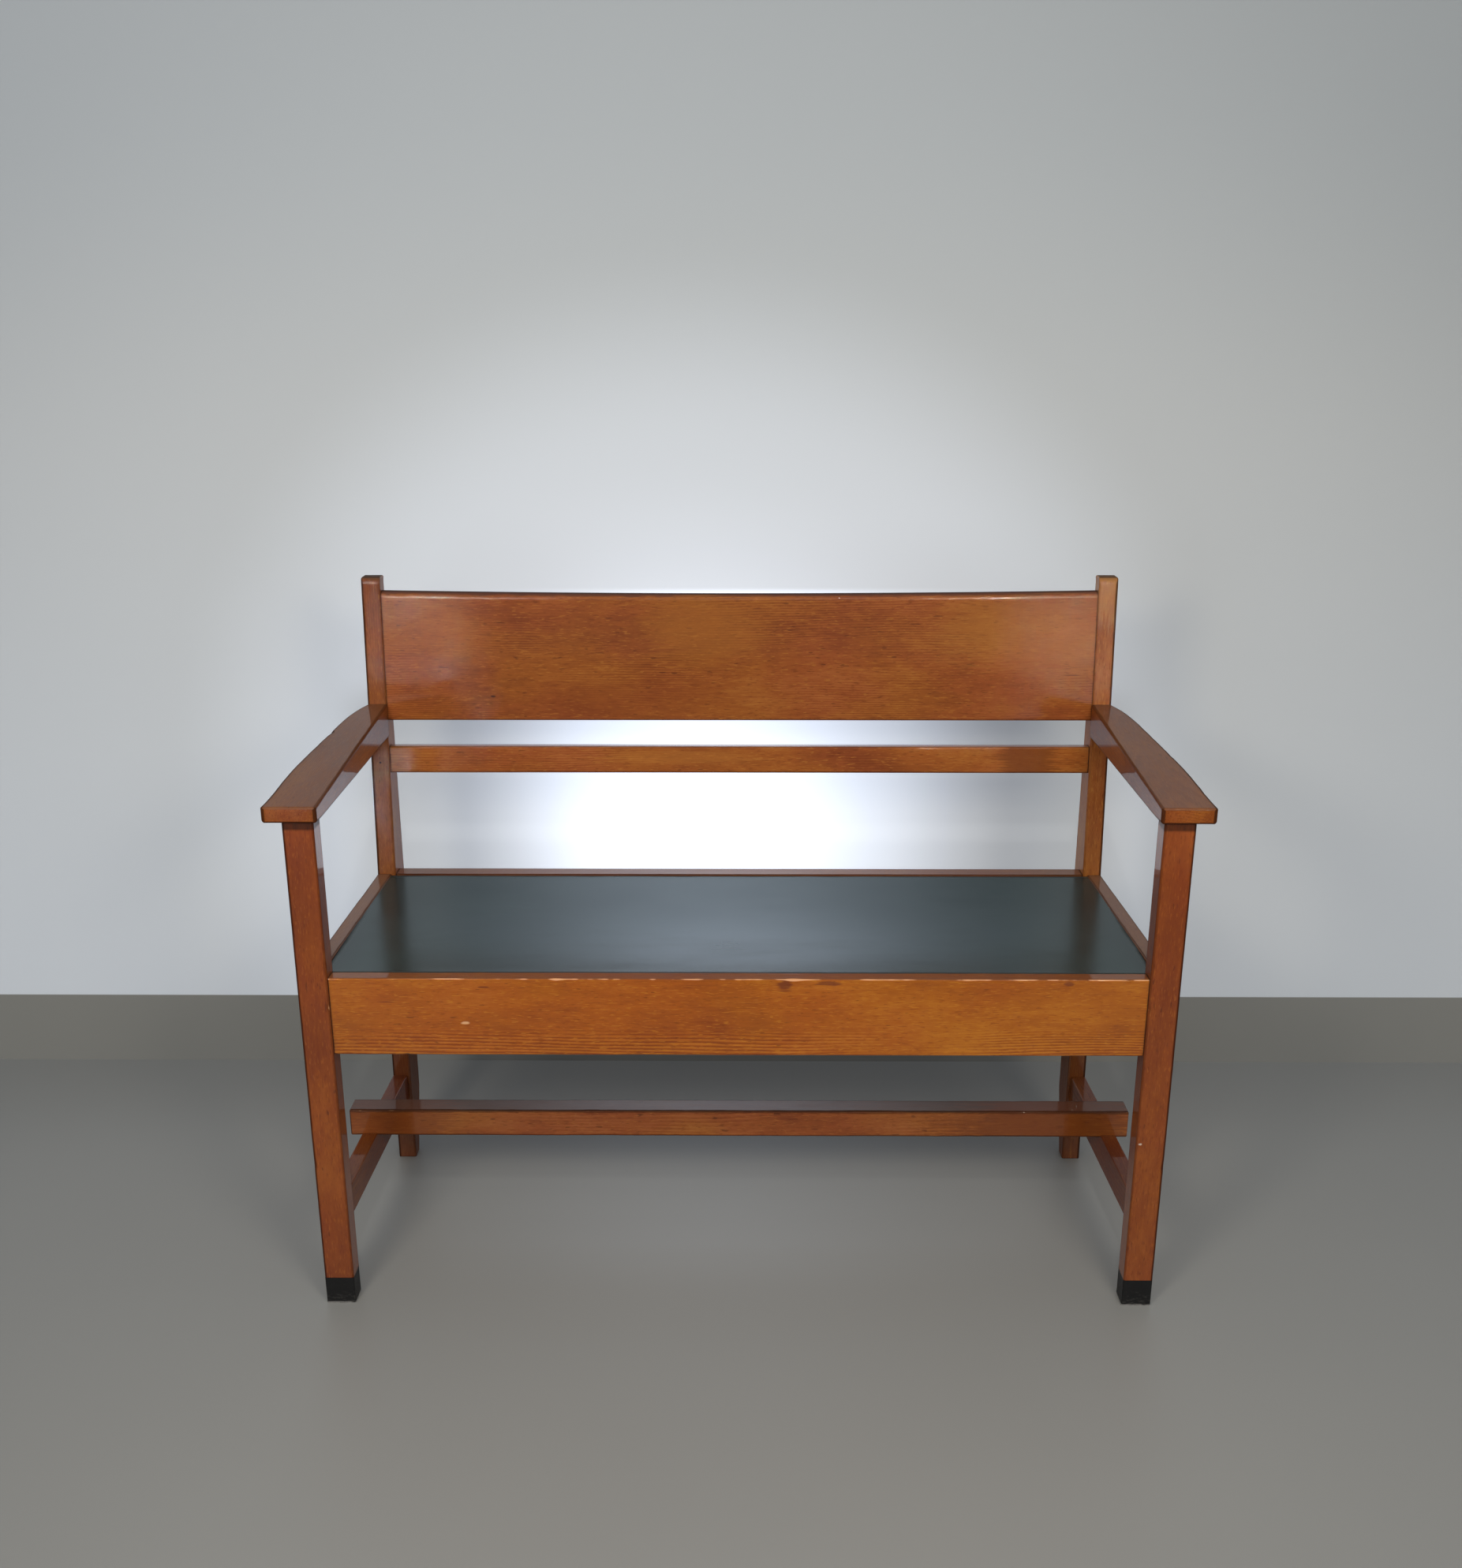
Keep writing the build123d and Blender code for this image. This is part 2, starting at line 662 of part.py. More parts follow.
def build_long_stretcher() -> BuildPart:
    """Long stretcher, housed a little over each side stretcher and passing beyond it."""
    half = side_stretcher_thickness / 2
    back_y = long_stretcher_front_y + long_stretcher_depth
    bottom = side_stretcher_top - housing_depth
    with BuildPart() as stretcher:
        with BuildSketch(Plane.XY.offset(bottom)):
            with Locations((0, stretcher_crossing_y)):
                Rectangle(2 * stretcher_reach, long_stretcher_depth)
        extrude(amount=long_stretcher_height)
        fillet(stretcher.edges(), long_stretcher_round)
        with BuildSketch(Plane.XY.offset(bottom)) as housing:
            with BuildLine():
                Polyline(
                    (side_stretcher_middle(long_stretcher_front_y) - half, long_stretcher_front_y),
                    (side_stretcher_middle(long_stretcher_front_y) + half, long_stretcher_front_y),
                    (side_stretcher_middle(back_y) + half, back_y),
                    (side_stretcher_middle(back_y) - half, back_y),
                    close=True,
                )
            make_face()
            mirror(about=Plane.YZ)
        extrude(amount=housing_depth, mode=Mode.SUBTRACT)
        hole = screw_hole(stretcher_screw_plane, stretcher_screw_length, stretcher_screw_sink)
        add(hole, mode=Mode.SUBTRACT)
        add(mirror(hole, about=Plane.YZ), mode=Mode.SUBTRACT)
    return stretcher


def build_seat_slab(bottom: float, thickness: float) -> BuildPart:
    """A slab with the outline of the drop-in seat."""
    right = seat_outline(seat_gap)
    left = [(-x, y) for x, y in reversed(right)]
    with BuildPart() as slab:
        with BuildSketch(Plane.XY.offset(bottom)):
            with BuildLine():
                Polyline(*right, *left, close=True)
            make_face()
        extrude(amount=thickness)
    return slab


def build_seat_cover() -> BuildPart:
    """The covering, a thin sheet with a softened upper edge."""
    with BuildPart() as cover:
        add(build_seat_slab(seat_underside + seat_board_thickness, seat_cover_thickness).part)
        fillet(cover.faces().sort_by(Axis.Z)[-1].edges(), seat_cover_round)
    return cover


def build_long_ledger(name: str, y: float) -> BuildPart:
    """A ledger along the front or rear rail, starting at y and running between the corner blocks."""
    length = 2 * (leg_inner_x - block_reach_across - ledger_end_gap)
    with BuildPart() as ledger:
        with BuildSketch(Plane.XY.offset(seat_underside)):
            with Locations((0, y + ledger_width / 2)):
                Rectangle(length, ledger_width)
        extrude(amount=-ledger_height)
        add(cut_screws((name,), ledger_screws, ledger_screw_length), mode=Mode.SUBTRACT)
    return ledger


def build_side_ledger() -> BuildPart:
    """Right ledger along the side rail, between the corner blocks."""
    near = leg_back_y + block_reach_back + ledger_end_gap
    far = post_front_y - block_reach_back - ledger_end_gap
    with BuildPart() as ledger:
        with BuildSketch(Plane.XY.offset(seat_underside)):
            with BuildLine():
                Polyline(
                    (side_rail_inner(near), near),
                    (side_rail_inner(far), far),
                    (side_rail_inner(far) - ledger_width, far),
                    (side_rail_inner(near) - ledger_width, near),
                    close=True,
                )
            make_face()
        extrude(amount=-ledger_height)
        names = ("side_near_right", "side_far_right")
        add(cut_screws(names, ledger_screws, ledger_screw_length), mode=Mode.SUBTRACT)
    return ledger


def build_corner_block(outline: list, names: tuple) -> BuildPart:
    """A right-hand corner block under the drop-in seat."""
    with BuildPart() as block:
        with BuildSketch(Plane.XY.offset(seat_underside)):
            with BuildLine():
                Polyline(*outline, close=True)
            make_face()
        extrude(amount=-block_height)
        add(cut_screws(names, block_screws, block_screw_length), mode=Mode.SUBTRACT)
    return block


def front_block_outline() -> list:
    """Corners of the front right block, notched round the leg."""
    far = leg_back_y + block_reach_back
    return [
        (leg_inner_x - block_reach_across, front_rail_back_y),
        (leg_inner_x, front_rail_back_y),
        (leg_inner_x, leg_back_y),
        (side_rail_inner(leg_back_y), leg_back_y),
        (side_rail_inner(far), far),
    ]


def rear_block_outline() -> list:
    """Corners of the rear right block."""
    near = post_front_y - block_reach_back
    return [
        (leg_inner_x - block_reach_across, post_front_y),
        (side_rail_inner(post_front_y), post_front_y),
        (side_rail_inner(near), near),
    ]


def mirrored(source: BuildPart) -> BuildPart:
    """The left-hand copy of a right-hand piece."""
    with BuildPart() as copy:
        add(mirror(source.part, about=Plane.YZ))
    return copy


pairs = {
    "front_leg": build_front_leg(),
    "foot_sleeve": build_foot_sleeve(),
    "rear_post": build_rear_post(),
    "armrest": build_armrest(),
    "arm_dowel": build_arm_dowel(),
    "side_seat_rail": build_side_seat_rail(),
    "side_stretcher": build_side_stretcher(),
    "seat_ledger": build_side_ledger(),
    "corner_block_front": build_corner_block(front_block_outline(), ("front_cross_right", "front_side_right")),
    "corner_block_rear": build_corner_block(rear_block_outline(), ("rear_cross_right", "rear_side_right")),
    "stretcher_screw": screw(stretcher_screw_plane, stretcher_screw_length),
}
for seat_name, seat_plane in ledger_screws.items():
    pairs["ledger_screw_" + seat_name.removesuffix("_right")] = screw(seat_plane, ledger_screw_length)
for seat_name, seat_plane in block_screws.items():
    pairs["block_screw_" + seat_name.removesuffix("_right")] = screw(seat_plane, block_screw_length)

pieces = {
    "back_panel": build_back_panel(),
    "lower_back_rail": build_lower_back_rail(),
    "front_seat_rail": build_front_seat_rail(),
    "rear_seat_rail": build_rear_seat_rail(),
    "long_stretcher": build_long_stretcher(),
    "seat_board": build_seat_slab(seat_underside, seat_board_thickness),
    "seat_cover": build_seat_cover(),
    "seat_ledger_front": build_long_ledger("front_right", front_rail_back_y),
    "seat_ledger_rear": build_long_ledger("rear_right", post_front_y - ledger_width),
}
for pair_name, right_piece in pairs.items():
    pieces[pair_name + "_right"] = right_piece
    pieces[pair_name + "_left"] = mirrored(right_piece)

for piece_name, piece in pieces.items():
    piece.part.label = piece_name
    export_step(piece.part, "parts/" + piece_name + ".step")
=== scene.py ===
"""Two-seat hall settle in old varnished oak with a dark green drop-in seat.

Metres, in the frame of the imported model: X to the viewer's right, Y to the back, Z up.
"""

import logging
import math
from collections.abc import Callable
from dataclasses import dataclass
from enum import Enum

import bpy
import numpy as np
from mathutils import Matrix, Vector


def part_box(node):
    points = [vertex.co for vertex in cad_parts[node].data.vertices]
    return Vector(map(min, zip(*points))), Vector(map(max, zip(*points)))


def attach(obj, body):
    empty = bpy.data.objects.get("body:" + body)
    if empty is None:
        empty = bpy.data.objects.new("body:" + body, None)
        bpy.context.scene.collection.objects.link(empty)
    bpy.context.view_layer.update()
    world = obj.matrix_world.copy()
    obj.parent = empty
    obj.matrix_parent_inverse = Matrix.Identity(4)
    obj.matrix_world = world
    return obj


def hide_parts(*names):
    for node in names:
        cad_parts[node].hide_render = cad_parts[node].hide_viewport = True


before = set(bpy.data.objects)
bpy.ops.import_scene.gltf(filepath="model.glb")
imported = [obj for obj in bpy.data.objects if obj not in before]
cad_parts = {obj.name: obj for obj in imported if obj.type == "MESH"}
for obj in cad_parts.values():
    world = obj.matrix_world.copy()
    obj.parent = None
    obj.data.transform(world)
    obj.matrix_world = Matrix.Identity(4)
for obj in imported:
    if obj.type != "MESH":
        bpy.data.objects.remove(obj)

log = logging.getLogger("settle")
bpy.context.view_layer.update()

MM = 0.001
Pair = tuple[float, float]
Four = tuple[float, float, float, float]
Colour = tuple[float, float, float]
Place = tuple[float, float, float]
Side = float | np.ndarray

# The raked fronts of the posts: their rise above the seat, and how far back they lean over it
RAKE_RISE = 411.5 * MM
RAKE_LEAN = 28.5 * MM


def drift(at: np.ndarray, pitch: float, seed: int) -> np.ndarray:
    """Smooth noise along a line: a random value every pitch, joined by the curve 3t^2 - 2t^3.

    Args:
        at: places on the line, in metres.
        pitch: distance between the random values.
        seed: picks the run of random values.

    Returns:
        Values from -1 to 1, one for each place.
    """
    place = at / pitch
    cell = np.floor(place).astype(int)
    share = place - cell
    share = share * share * (3 - 2 * share)
    knots = np.random.default_rng(seed).uniform(-1, 1, 2048)
    return knots[cell % 2048] * (1 - share) + knots[(cell + 1) % 2048] * share


def drift_over(u: np.ndarray, v: np.ndarray, pitch: Pair, seed: int) -> np.ndarray:
    """Smooth noise over a surface: random values on a grid, joined both ways by 3t^2 - 2t^3.

    Args:
        u: first coordinate of each point.
        v: second coordinate of each point, of the same shape.
        pitch: grid spacing in the two directions.
        seed: picks the grid of random values.

    Returns:
        Values from -1 to 1, in the shape of u.
    """
    knots = np.random.default_rng(seed).uniform(-1, 1, (256, 256))
    row, column = np.floor(u / pitch[0]).astype(int), np.floor(v / pitch[1]).astype(int)
    s, t = u / pitch[0] - row, v / pitch[1] - column
    s, t = s * s * (3 - 2 * s), t * t * (3 - 2 * t)
    row, column, down, right = row % 256, column % 256, (row + 1) % 256, (column + 1) % 256
    near = knots[row, column] * (1 - t) + knots[row, right] * t
    far = knots[down, column] * (1 - t) + knots[down, right] * t
    return near * (1 - s) + far * s


class Run(Enum):
    """The axis that a piece's length and grain follow, then the two axes across it."""

    ACROSS = (0, 1, 2)
    BACK = (1, 0, 2)
    UP = (2, 0, 1)


@dataclass(frozen=True)
class Nick:
    """A chip out of one arris: which arris, where along it, half its length and its size."""

    arris: int
    place: float
    reach: float
    size: float


@dataclass(frozen=True)
class Wear:
    """Sizes and strengths of the wear that every bar shares."""

    # Pitch, strength and seed step of the drifts that rub an arris
    drifts: tuple = ((90 * MM, 0.4, 0), (17 * MM, 0.3, 5), (6 * MM, 0.15, 7))
    mean: float = 0.4
    most: float = 1.2
    # How much a fully rubbed arris's radius grows, as a share of it
    growth: float = 0.7
    swell_reach: float = 12 * MM
    ripple_pitch: float = 11 * MM
    ripple: float = 0.04
    ripple_from: float = 4 * MM
    nick_rub: float = 0.5
    least_round: float = 0.15 * MM
    wave_pitch: Pair = (70 * MM, 45 * MM)
    wave_fade: float = 6 * MM
    # How far the waves move on from one side to the next
    side_step: float = 0.31
    # Half width of the worn middle of an arris, in radians
    nose: float = 0.45
    arris_band: float = 0.9 * MM
    start_band: float = 0.8 * MM
    # Soft edge of the painted shadow band at an end
    shadow_band_blur: float = 2 * MM
    # Reach and strength of the dirt at an end: a thin dark line, then a wide faint one
    end_dirt: tuple = ((0.7 * MM, 0.9), (14 * MM, 0.33))


@dataclass
class Bar:
    """A sawn piece of wood with four long sides, as a surface over how far along and how far round.

    Each section is a rectangle whose four arrises are rounded, each by its own radius. The radius
    drifts along the piece where the arris has been rubbed, and grows at each nick. Sides go in
    the order low and high on the first axis across, then low and high on the second.
    """

    name: str
    run: Run
    along: np.ndarray
    low: tuple[Side, Side]
    high: tuple[Side, Side]
    rounds: Four
    rub: Four = (1.0,) * 4
    start_rounds: Four = (0.0,) * 4
    end_rounds: Four = (0.0,) * 4
    nicks: tuple[Nick, ...] = ()
    start_swell: Four = (0.0,) * 4
    grime: Pair = (0.0, 0.0)
    # Length and strength of a painted shadow band at the end, as under an overhang
    end_shadow_band: Pair = (0.0, 0.0)
    outline: Four = (0.6,) * 4
    wave: float = 0.05 * MM
    seed: int = 1
    arc_steps: int = 5
    face_pitch: float = 7 * MM
    wear: Wear = Wear()

    def gaps(self) -> tuple[np.ndarray, np.ndarray]:
        """How far each station is from the start and from the end."""
        return self.along - self.along[0], self.along[-1] - self.along

    def inset(self, start: float, end: float) -> np.ndarray:
        """How far one side draws in near the ends: a quarter circle of the given radius at each.

        Args:
            start: radius of the rounding at the start.
            end: radius of the rounding at the end.

        Returns:
            The distance at each station.
        """
        total = np.zeros_like(self.along)
        for radius, gap in zip((start, end), self.gaps()):
            if radius > 0:
                left = np.clip(radius - gap, 0, radius)
                total = total + radius - np.sqrt(radius**2 - left**2)
        return total

    @staticmethod
    def facing(values: Four, angle: np.ndarray) -> np.ndarray:
        """For each outward direction, the value of the side that it faces most.

        Args:
            values: one value for each side.
            angle: the outward directions.

        Returns:
            A value for each direction.
        """
        level, upright = np.cos(angle), np.sin(angle)
        first = np.where(level < 0, values[0], values[1])
        return np.where(np.abs(level) > np.abs(upright), first, np.where(upright < 0, values[2], values[3]))

    def rubbed(self, arris: int) -> np.ndarray:
        """How much one arris is rubbed along the piece, from 0 to about 1: three drifts added.

        Args:
            arris: number of the arris.

        Returns:
            The rub at each station.
        """
        seed = self.seed * 10 + arris
        parts = (share * drift(self.along, pitch, seed + step) for pitch, share, step in self.wear.drifts)
        return np.clip(sum(parts, self.wear.mean), 0, self.wear.most) * self.rub[arris]

    def radii(self, inset: np.ndarray) -> tuple[np.ndarray, np.ndarray]:
        """Radius of each arris at each station, and how rubbed it is there.

        Args:
            inset: how far the sides draw in at each station, which the radius gives up.

        Returns:
            Two arrays of shape (stations, 4).
        """
        rubbed = np.stack([self.rubbed(k) for k in range(4)], 1)
        radius = np.array(self.rounds) * (1 + self.wear.growth * rubbed)
        radius += np.array(self.start_swell) * np.exp(-self.gaps()[0] / self.wear.swell_reach)[:, None]
        seeds = (self.seed * 10 + k + 60 for k in range(4))
        ripple = np.stack([drift(self.along, self.wear.ripple_pitch, seed) for seed in seeds], 1)
        radius += ripple * self.wear.ripple * np.clip(radius - self.wear.ripple_from, 0, None)
        for nick in self.nicks:
            bite = np.exp(-(((self.along - nick.place) / nick.reach) ** 2))
            radius[:, nick.arris] += nick.size * bite
            rubbed[:, nick.arris] += self.wear.nick_rub * bite
        return np.clip(radius - inset[:, None], self.wear.least_round, None), rubbed

    def rim(self, widths: Pair) -> tuple[np.ndarray, np.ndarray, np.ndarray]:
        """The points round a section, each as an arris, a share of the way to the next, and an angle.

        Args:
            widths: widths of the section in its two axes, which set how many points a side has.

        Returns:
            Arrays of the arris number, the share and the angle of the outward direction.
        """
        arris, share, angle = [], [], []
        for corner in range(4):
            start = math.pi * (1 + corner / 2)
            width = widths[corner % 2]
            near = [gap * MM / width for gap in (0.5, 1.2, 2.6, 5.0) if gap * MM < 0.3 * width]
            steps = max(2, round(width * (1 - 2 * near[-1]) / self.face_pitch))
            across = np.linspace(near[-1], 1 - near[-1], steps + 1)
            inner = [*near[:-1], *across, *(1 - gap for gap in near[-2::-1])]
            arc = np.linspace(start, start + math.pi / 2, self.arc_steps + 1)
            arris += [corner] * (len(arc) + len(inner))
            share += [0.0] * len(arc) + inner
            angle += [*arc, *[arc[-1]] * len(inner)]
        return np.array(arris), np.array(share), np.array(angle)

    def waves(self, arris: np.ndarray, gaps: tuple[np.ndarray, np.ndarray]) -> np.ndarray:
        """How far the faces sink away from the arrises, so that a reflection wavers on them.

        Args:
            arris: number of the arris of each point of a section.
            gaps: distance of each of those points from its arris and from the next one.

        Returns:
            The distance of each point, of shape (stations, rim).
        """
        turned = arris * self.wear.side_step + gaps[0]
        ahead, round_it = np.meshgrid(self.along, turned, indexing="ij")
        noise = drift_over(ahead, round_it, self.wear.wave_pitch, self.seed + 90)
        return (noise - 1) * self.wave * np.clip(np.minimum(*gaps) / self.wear.wave_fade, 0, 1)

    def surface(self) -> tuple[np.ndarray, dict[str, np.ndarray]]:
        """The piece's points and how rubbed, how near an arris, how dirty and how upward each is.

        A point is the centre of its arris's arc, moved towards the next arris by its share, plus
        the arc's radius times its outward direction.

        Returns:
            Points of shape (stations, rim, 3), and the four values by name, each (stations, rim).
        """
        insets = [self.inset(a, b) for a, b in zip(self.start_rounds, self.end_rounds)]
        low = (self.low[0] + insets[0], self.low[1] + insets[2])
        high = (self.high[0] - insets[1], self.high[1] - insets[3])
        radius, rubbed = self.radii(np.maximum.reduce(insets))
        sides = ((low[0], low[1]), (high[0], low[1]), (high[0], high[1]), (low[0], high[1]))
        signs = ((1, 1), (-1, 1), (-1, -1), (1, -1))
        centre = [np.stack([side[axis] + sign[axis] * radius[:, k] for k, (side, sign) in
                            enumerate(zip(sides, signs))], 1) for axis in (0, 1)]
        widths = (float(np.max(high[0] - low[0])), float(np.max(high[1] - low[1])))
        arris, share, angle = rim = self.rim(widths)
        following = (arris + 1) % 4
        width = np.where(arris % 2 == 0, widths[0], widths[1])
        gaps = share * width, (1 - share) * width
        arc = radius[:, arris] * (1 - share) + radius[:, following] * share + self.waves(arris, gaps)
        middle = [c[:, arris] * (1 - share) + c[:, following] * share for c in centre]
        points = np.empty((len(self.along), len(arris), 3))
        points[..., self.run.value[0]] = self.along[:, None]
        points[..., self.run.value[1]] = middle[0] + arc * np.cos(angle)
        points[..., self.run.value[2]] = middle[1] + arc * np.sin(angle)
        return self.closed_in(points, self.shades(rim, gaps, rubbed), widths)

    def shades(
        self, rim: tuple[np.ndarray, ...], gaps: tuple[np.ndarray, np.ndarray], rubbed: np.ndarray,
    ) -> dict[str, np.ndarray]:
        """What the finish needs to know of each point.

        Args:
            rim: arris number, share and angle of each point of a section.
            gaps: distance of each of those points from its arris and from the next one.
            rubbed: how rubbed each arris is at each station.

        Returns:
            By name, from 0 to about 1: wear on an arris, nearness to an arris, dirt and painted shade near
            the ends, and how far a point faces up or, on an upright, how near it is to the rounded top.
        """
        arris, share, angle = rim
        ahead, behind = self.gaps()
        dark = np.array(self.outline)
        nose = np.exp(-(((angle - math.pi * (1.25 + arris / 2)) / self.wear.nose) ** 2))
        near = np.exp(-gaps[0] / self.wear.arris_band) * dark[arris]
        far = np.where(share > 0, np.exp(-gaps[1] / self.wear.arris_band), 0) * dark[(arris + 1) % 4]
        turned_in = self.facing(self.start_rounds, angle)[None] - ahead[:, None]
        shown = np.clip(np.abs(np.cos(angle)) + np.clip(-np.sin(angle), 0, 1), 0, 1)
        line = np.maximum(np.maximum(near, far), np.clip(turned_in / self.wear.start_band, 0, 1) * shown)
        edge = [sum(np.exp(-gap / fade) * dark_share for fade, dark_share in self.wear.end_dirt)
                for gap in (ahead, behind)]
        dirt_and_shade = np.maximum(edge[0] * self.grime[0], edge[1] * self.grime[1])
        # Painted shadow: a band at the end, darkened as the shade under an overhang
        reach, strength = self.end_shadow_band
        dirt_and_shade = np.maximum(dirt_and_shade, np.clip((reach - behind) / self.wear.shadow_band_blur + 0.5, 0, 1) * strength)
        topside = np.tile(np.sin(angle).clip(0, 1), (len(self.along), 1))
        if self.run is Run.UP:
            topside = 1 - behind[:, None] / np.maximum(self.facing(self.end_rounds, angle), 0.1 * MM)[None]
        return {"wear": np.where(share > 0, 0, nose) * rubbed[:, arris], "arris": line,
                "grime": np.repeat(dirt_and_shade[:, None], len(arris), 1), "topside": topside.clip(0, 1)}

    def closed_in(
        self, points: np.ndarray, values: dict[str, np.ndarray], widths: Pair,
    ) -> tuple[np.ndarray, dict[str, np.ndarray]]:
        """Adds a row inside each end face, 2.5 mm in from its outline, where no arris shows.

        Args:
            points: the piece's points so far.
            values: the values kept on them.
            widths: widths of the section in its two axes.

        Returns:
            The points and values with one more row at each end.
        """
        scale = np.ones(3)
        for axis, width in zip(self.run.value[1:], widths):
            scale[axis] = max(0.3, 1 - 5 * MM / width)
        rows = []
        for row in (points[0], points[-1]):
            middle = row.mean(0)
            rows.append((middle + (row - middle) * scale)[None])
        dropped = {"arris", "wear"} | ({"topside"} if self.run is not Run.UP else set())
        kept = {}
        for label, numbers in values.items():
            share = 0.0 if label in dropped else 1.0
            kept[label] = np.concatenate([numbers[:1] * share, numbers, numbers[-1:] * share])
        return np.concatenate([rows[0], points, rows[1]]), kept


def stations(low: float, high: float, start_round: float = 0, end_round: float = 0,
             pitch: float = 4 * MM) -> np.ndarray:
    """Places along a piece: an even run, closer at each end, and on the arc where an end is rounded.

    Args:
        low: where the piece starts.
        high: where it ends.
        start_round: radius of the start's rounding.
        end_round: radius of the end's rounding.
        pitch: distance between stations in the even run.

    Returns:
        Rising places from low to high.
    """
    near = np.array([0, 0.4, 0.9, 1.6, 2.6, 4.0]) * MM
    quarter = 1 - np.cos(np.linspace(0, math.pi / 2, 9))
    first = quarter * start_round if start_round else near
    last = quarter * end_round if end_round else near
    clear = (first[-1] + 0.6 * MM, last[-1] + 0.6 * MM)
    count = max(2, round((high - low - sum(clear)) / pitch))
    middle = np.linspace(low + clear[0], high - clear[1], count + 1)
    return np.concatenate([low + first, middle, (high - last)[::-1]])


def shell(name: str, points: np.ndarray, values: dict[str, np.ndarray]) -> bpy.types.Object:
    """A closed mesh object from a surface that joins up round its second direction.

    Args:
        name: the object's name.
        points: (rows, columns, 3) places; the first and last rows are closed with a flat face each.
        values: (rows, columns) numbers to keep on the points, by name.

    Returns:
        The new object, linked to the scene, with its faces pointing outwards.
    """
    rows, columns = points.shape[:2]
    index = np.arange(rows * columns).reshape(rows, columns)
    beside = np.roll(index, -1, axis=1)
    quads = np.stack([index[:-1], index[1:], beside[1:], beside[:-1]], -1).reshape(-1, 4)
    caps = [index[0], index[-1][::-1]]
    flat = points.reshape(-1, 3)
    corners = flat[quads]
    volume = np.einsum("ij,ij->i", corners[:, 0], np.cross(corners[:, 1], corners[:, 2])).sum()
    volume += np.einsum("ij,ij->i", corners[:, 0], np.cross(corners[:, 2], corners[:, 3])).sum()
    if volume < 0:
        quads, caps = quads[:, ::-1], [cap[::-1] for cap in caps]
    mesh = bpy.data.meshes.new(name)
    mesh.from_pydata(flat.tolist(), [], quads.tolist() + [cap.tolist() for cap in caps])
    smooth = np.ones(len(mesh.polygons), bool)
    smooth[-2:] = False
    mesh.polygons.foreach_set("use_smooth", smooth)
    for label, numbers in values.items():
        layer = mesh.attributes.new(label, "FLOAT", "POINT")
        layer.data.foreach_set("value", numbers.astype(np.float32).ravel())
    mesh.validate()
    piece = bpy.data.objects.new(name, mesh)
    bpy.context.scene.collection.objects.link(piece)
    return piece


class Sock:
    """A shader socket that stands in a Python expression; each operator adds one Math node."""

    def __init__(self, shader: "Shader", socket: bpy.types.NodeSocket) -> None:
        """Keeps the shader that the socket belongs to."""
        self.shader = shader
        self.socket = socket

    def math(self, operation: str, *others: "Sock | float") -> "Sock":
        """One Math node whose first input is this socket."""
        return self.shader.node("ShaderNodeMath", dict(enumerate((self, *others))), operation=operation)

    def __add__(self, other: "Sock | float") -> "Sock":
        """Sum."""
        return self.math("ADD", other)

    def __sub__(self, other: "Sock | float") -> "Sock":
        """Difference."""
        return self.math("SUBTRACT", other)

    def __rsub__(self, other: float) -> "Sock":
        """Difference from a number."""
        return self.shader.node("ShaderNodeMath", {0: other, 1: self}, operation="SUBTRACT")

    def __mul__(self, other: "Sock | float") -> "Sock":
        """Product."""
        return self.math("MULTIPLY", other)

    def __truediv__(self, other: "Sock | float") -> "Sock":
        """Quotient."""
        return self.math("DIVIDE", other)

    __radd__ = __add__
    __rmul__ = __mul__

    def over(self, low: float, high: float) -> "Sock":
        """A smooth step: 0 below low, 1 above high."""
        ends = {"Value": self, "From Min": low, "From Max": high}
        return self.shader.node("ShaderNodeMapRange", ends, interpolation_type="SMOOTHSTEP")


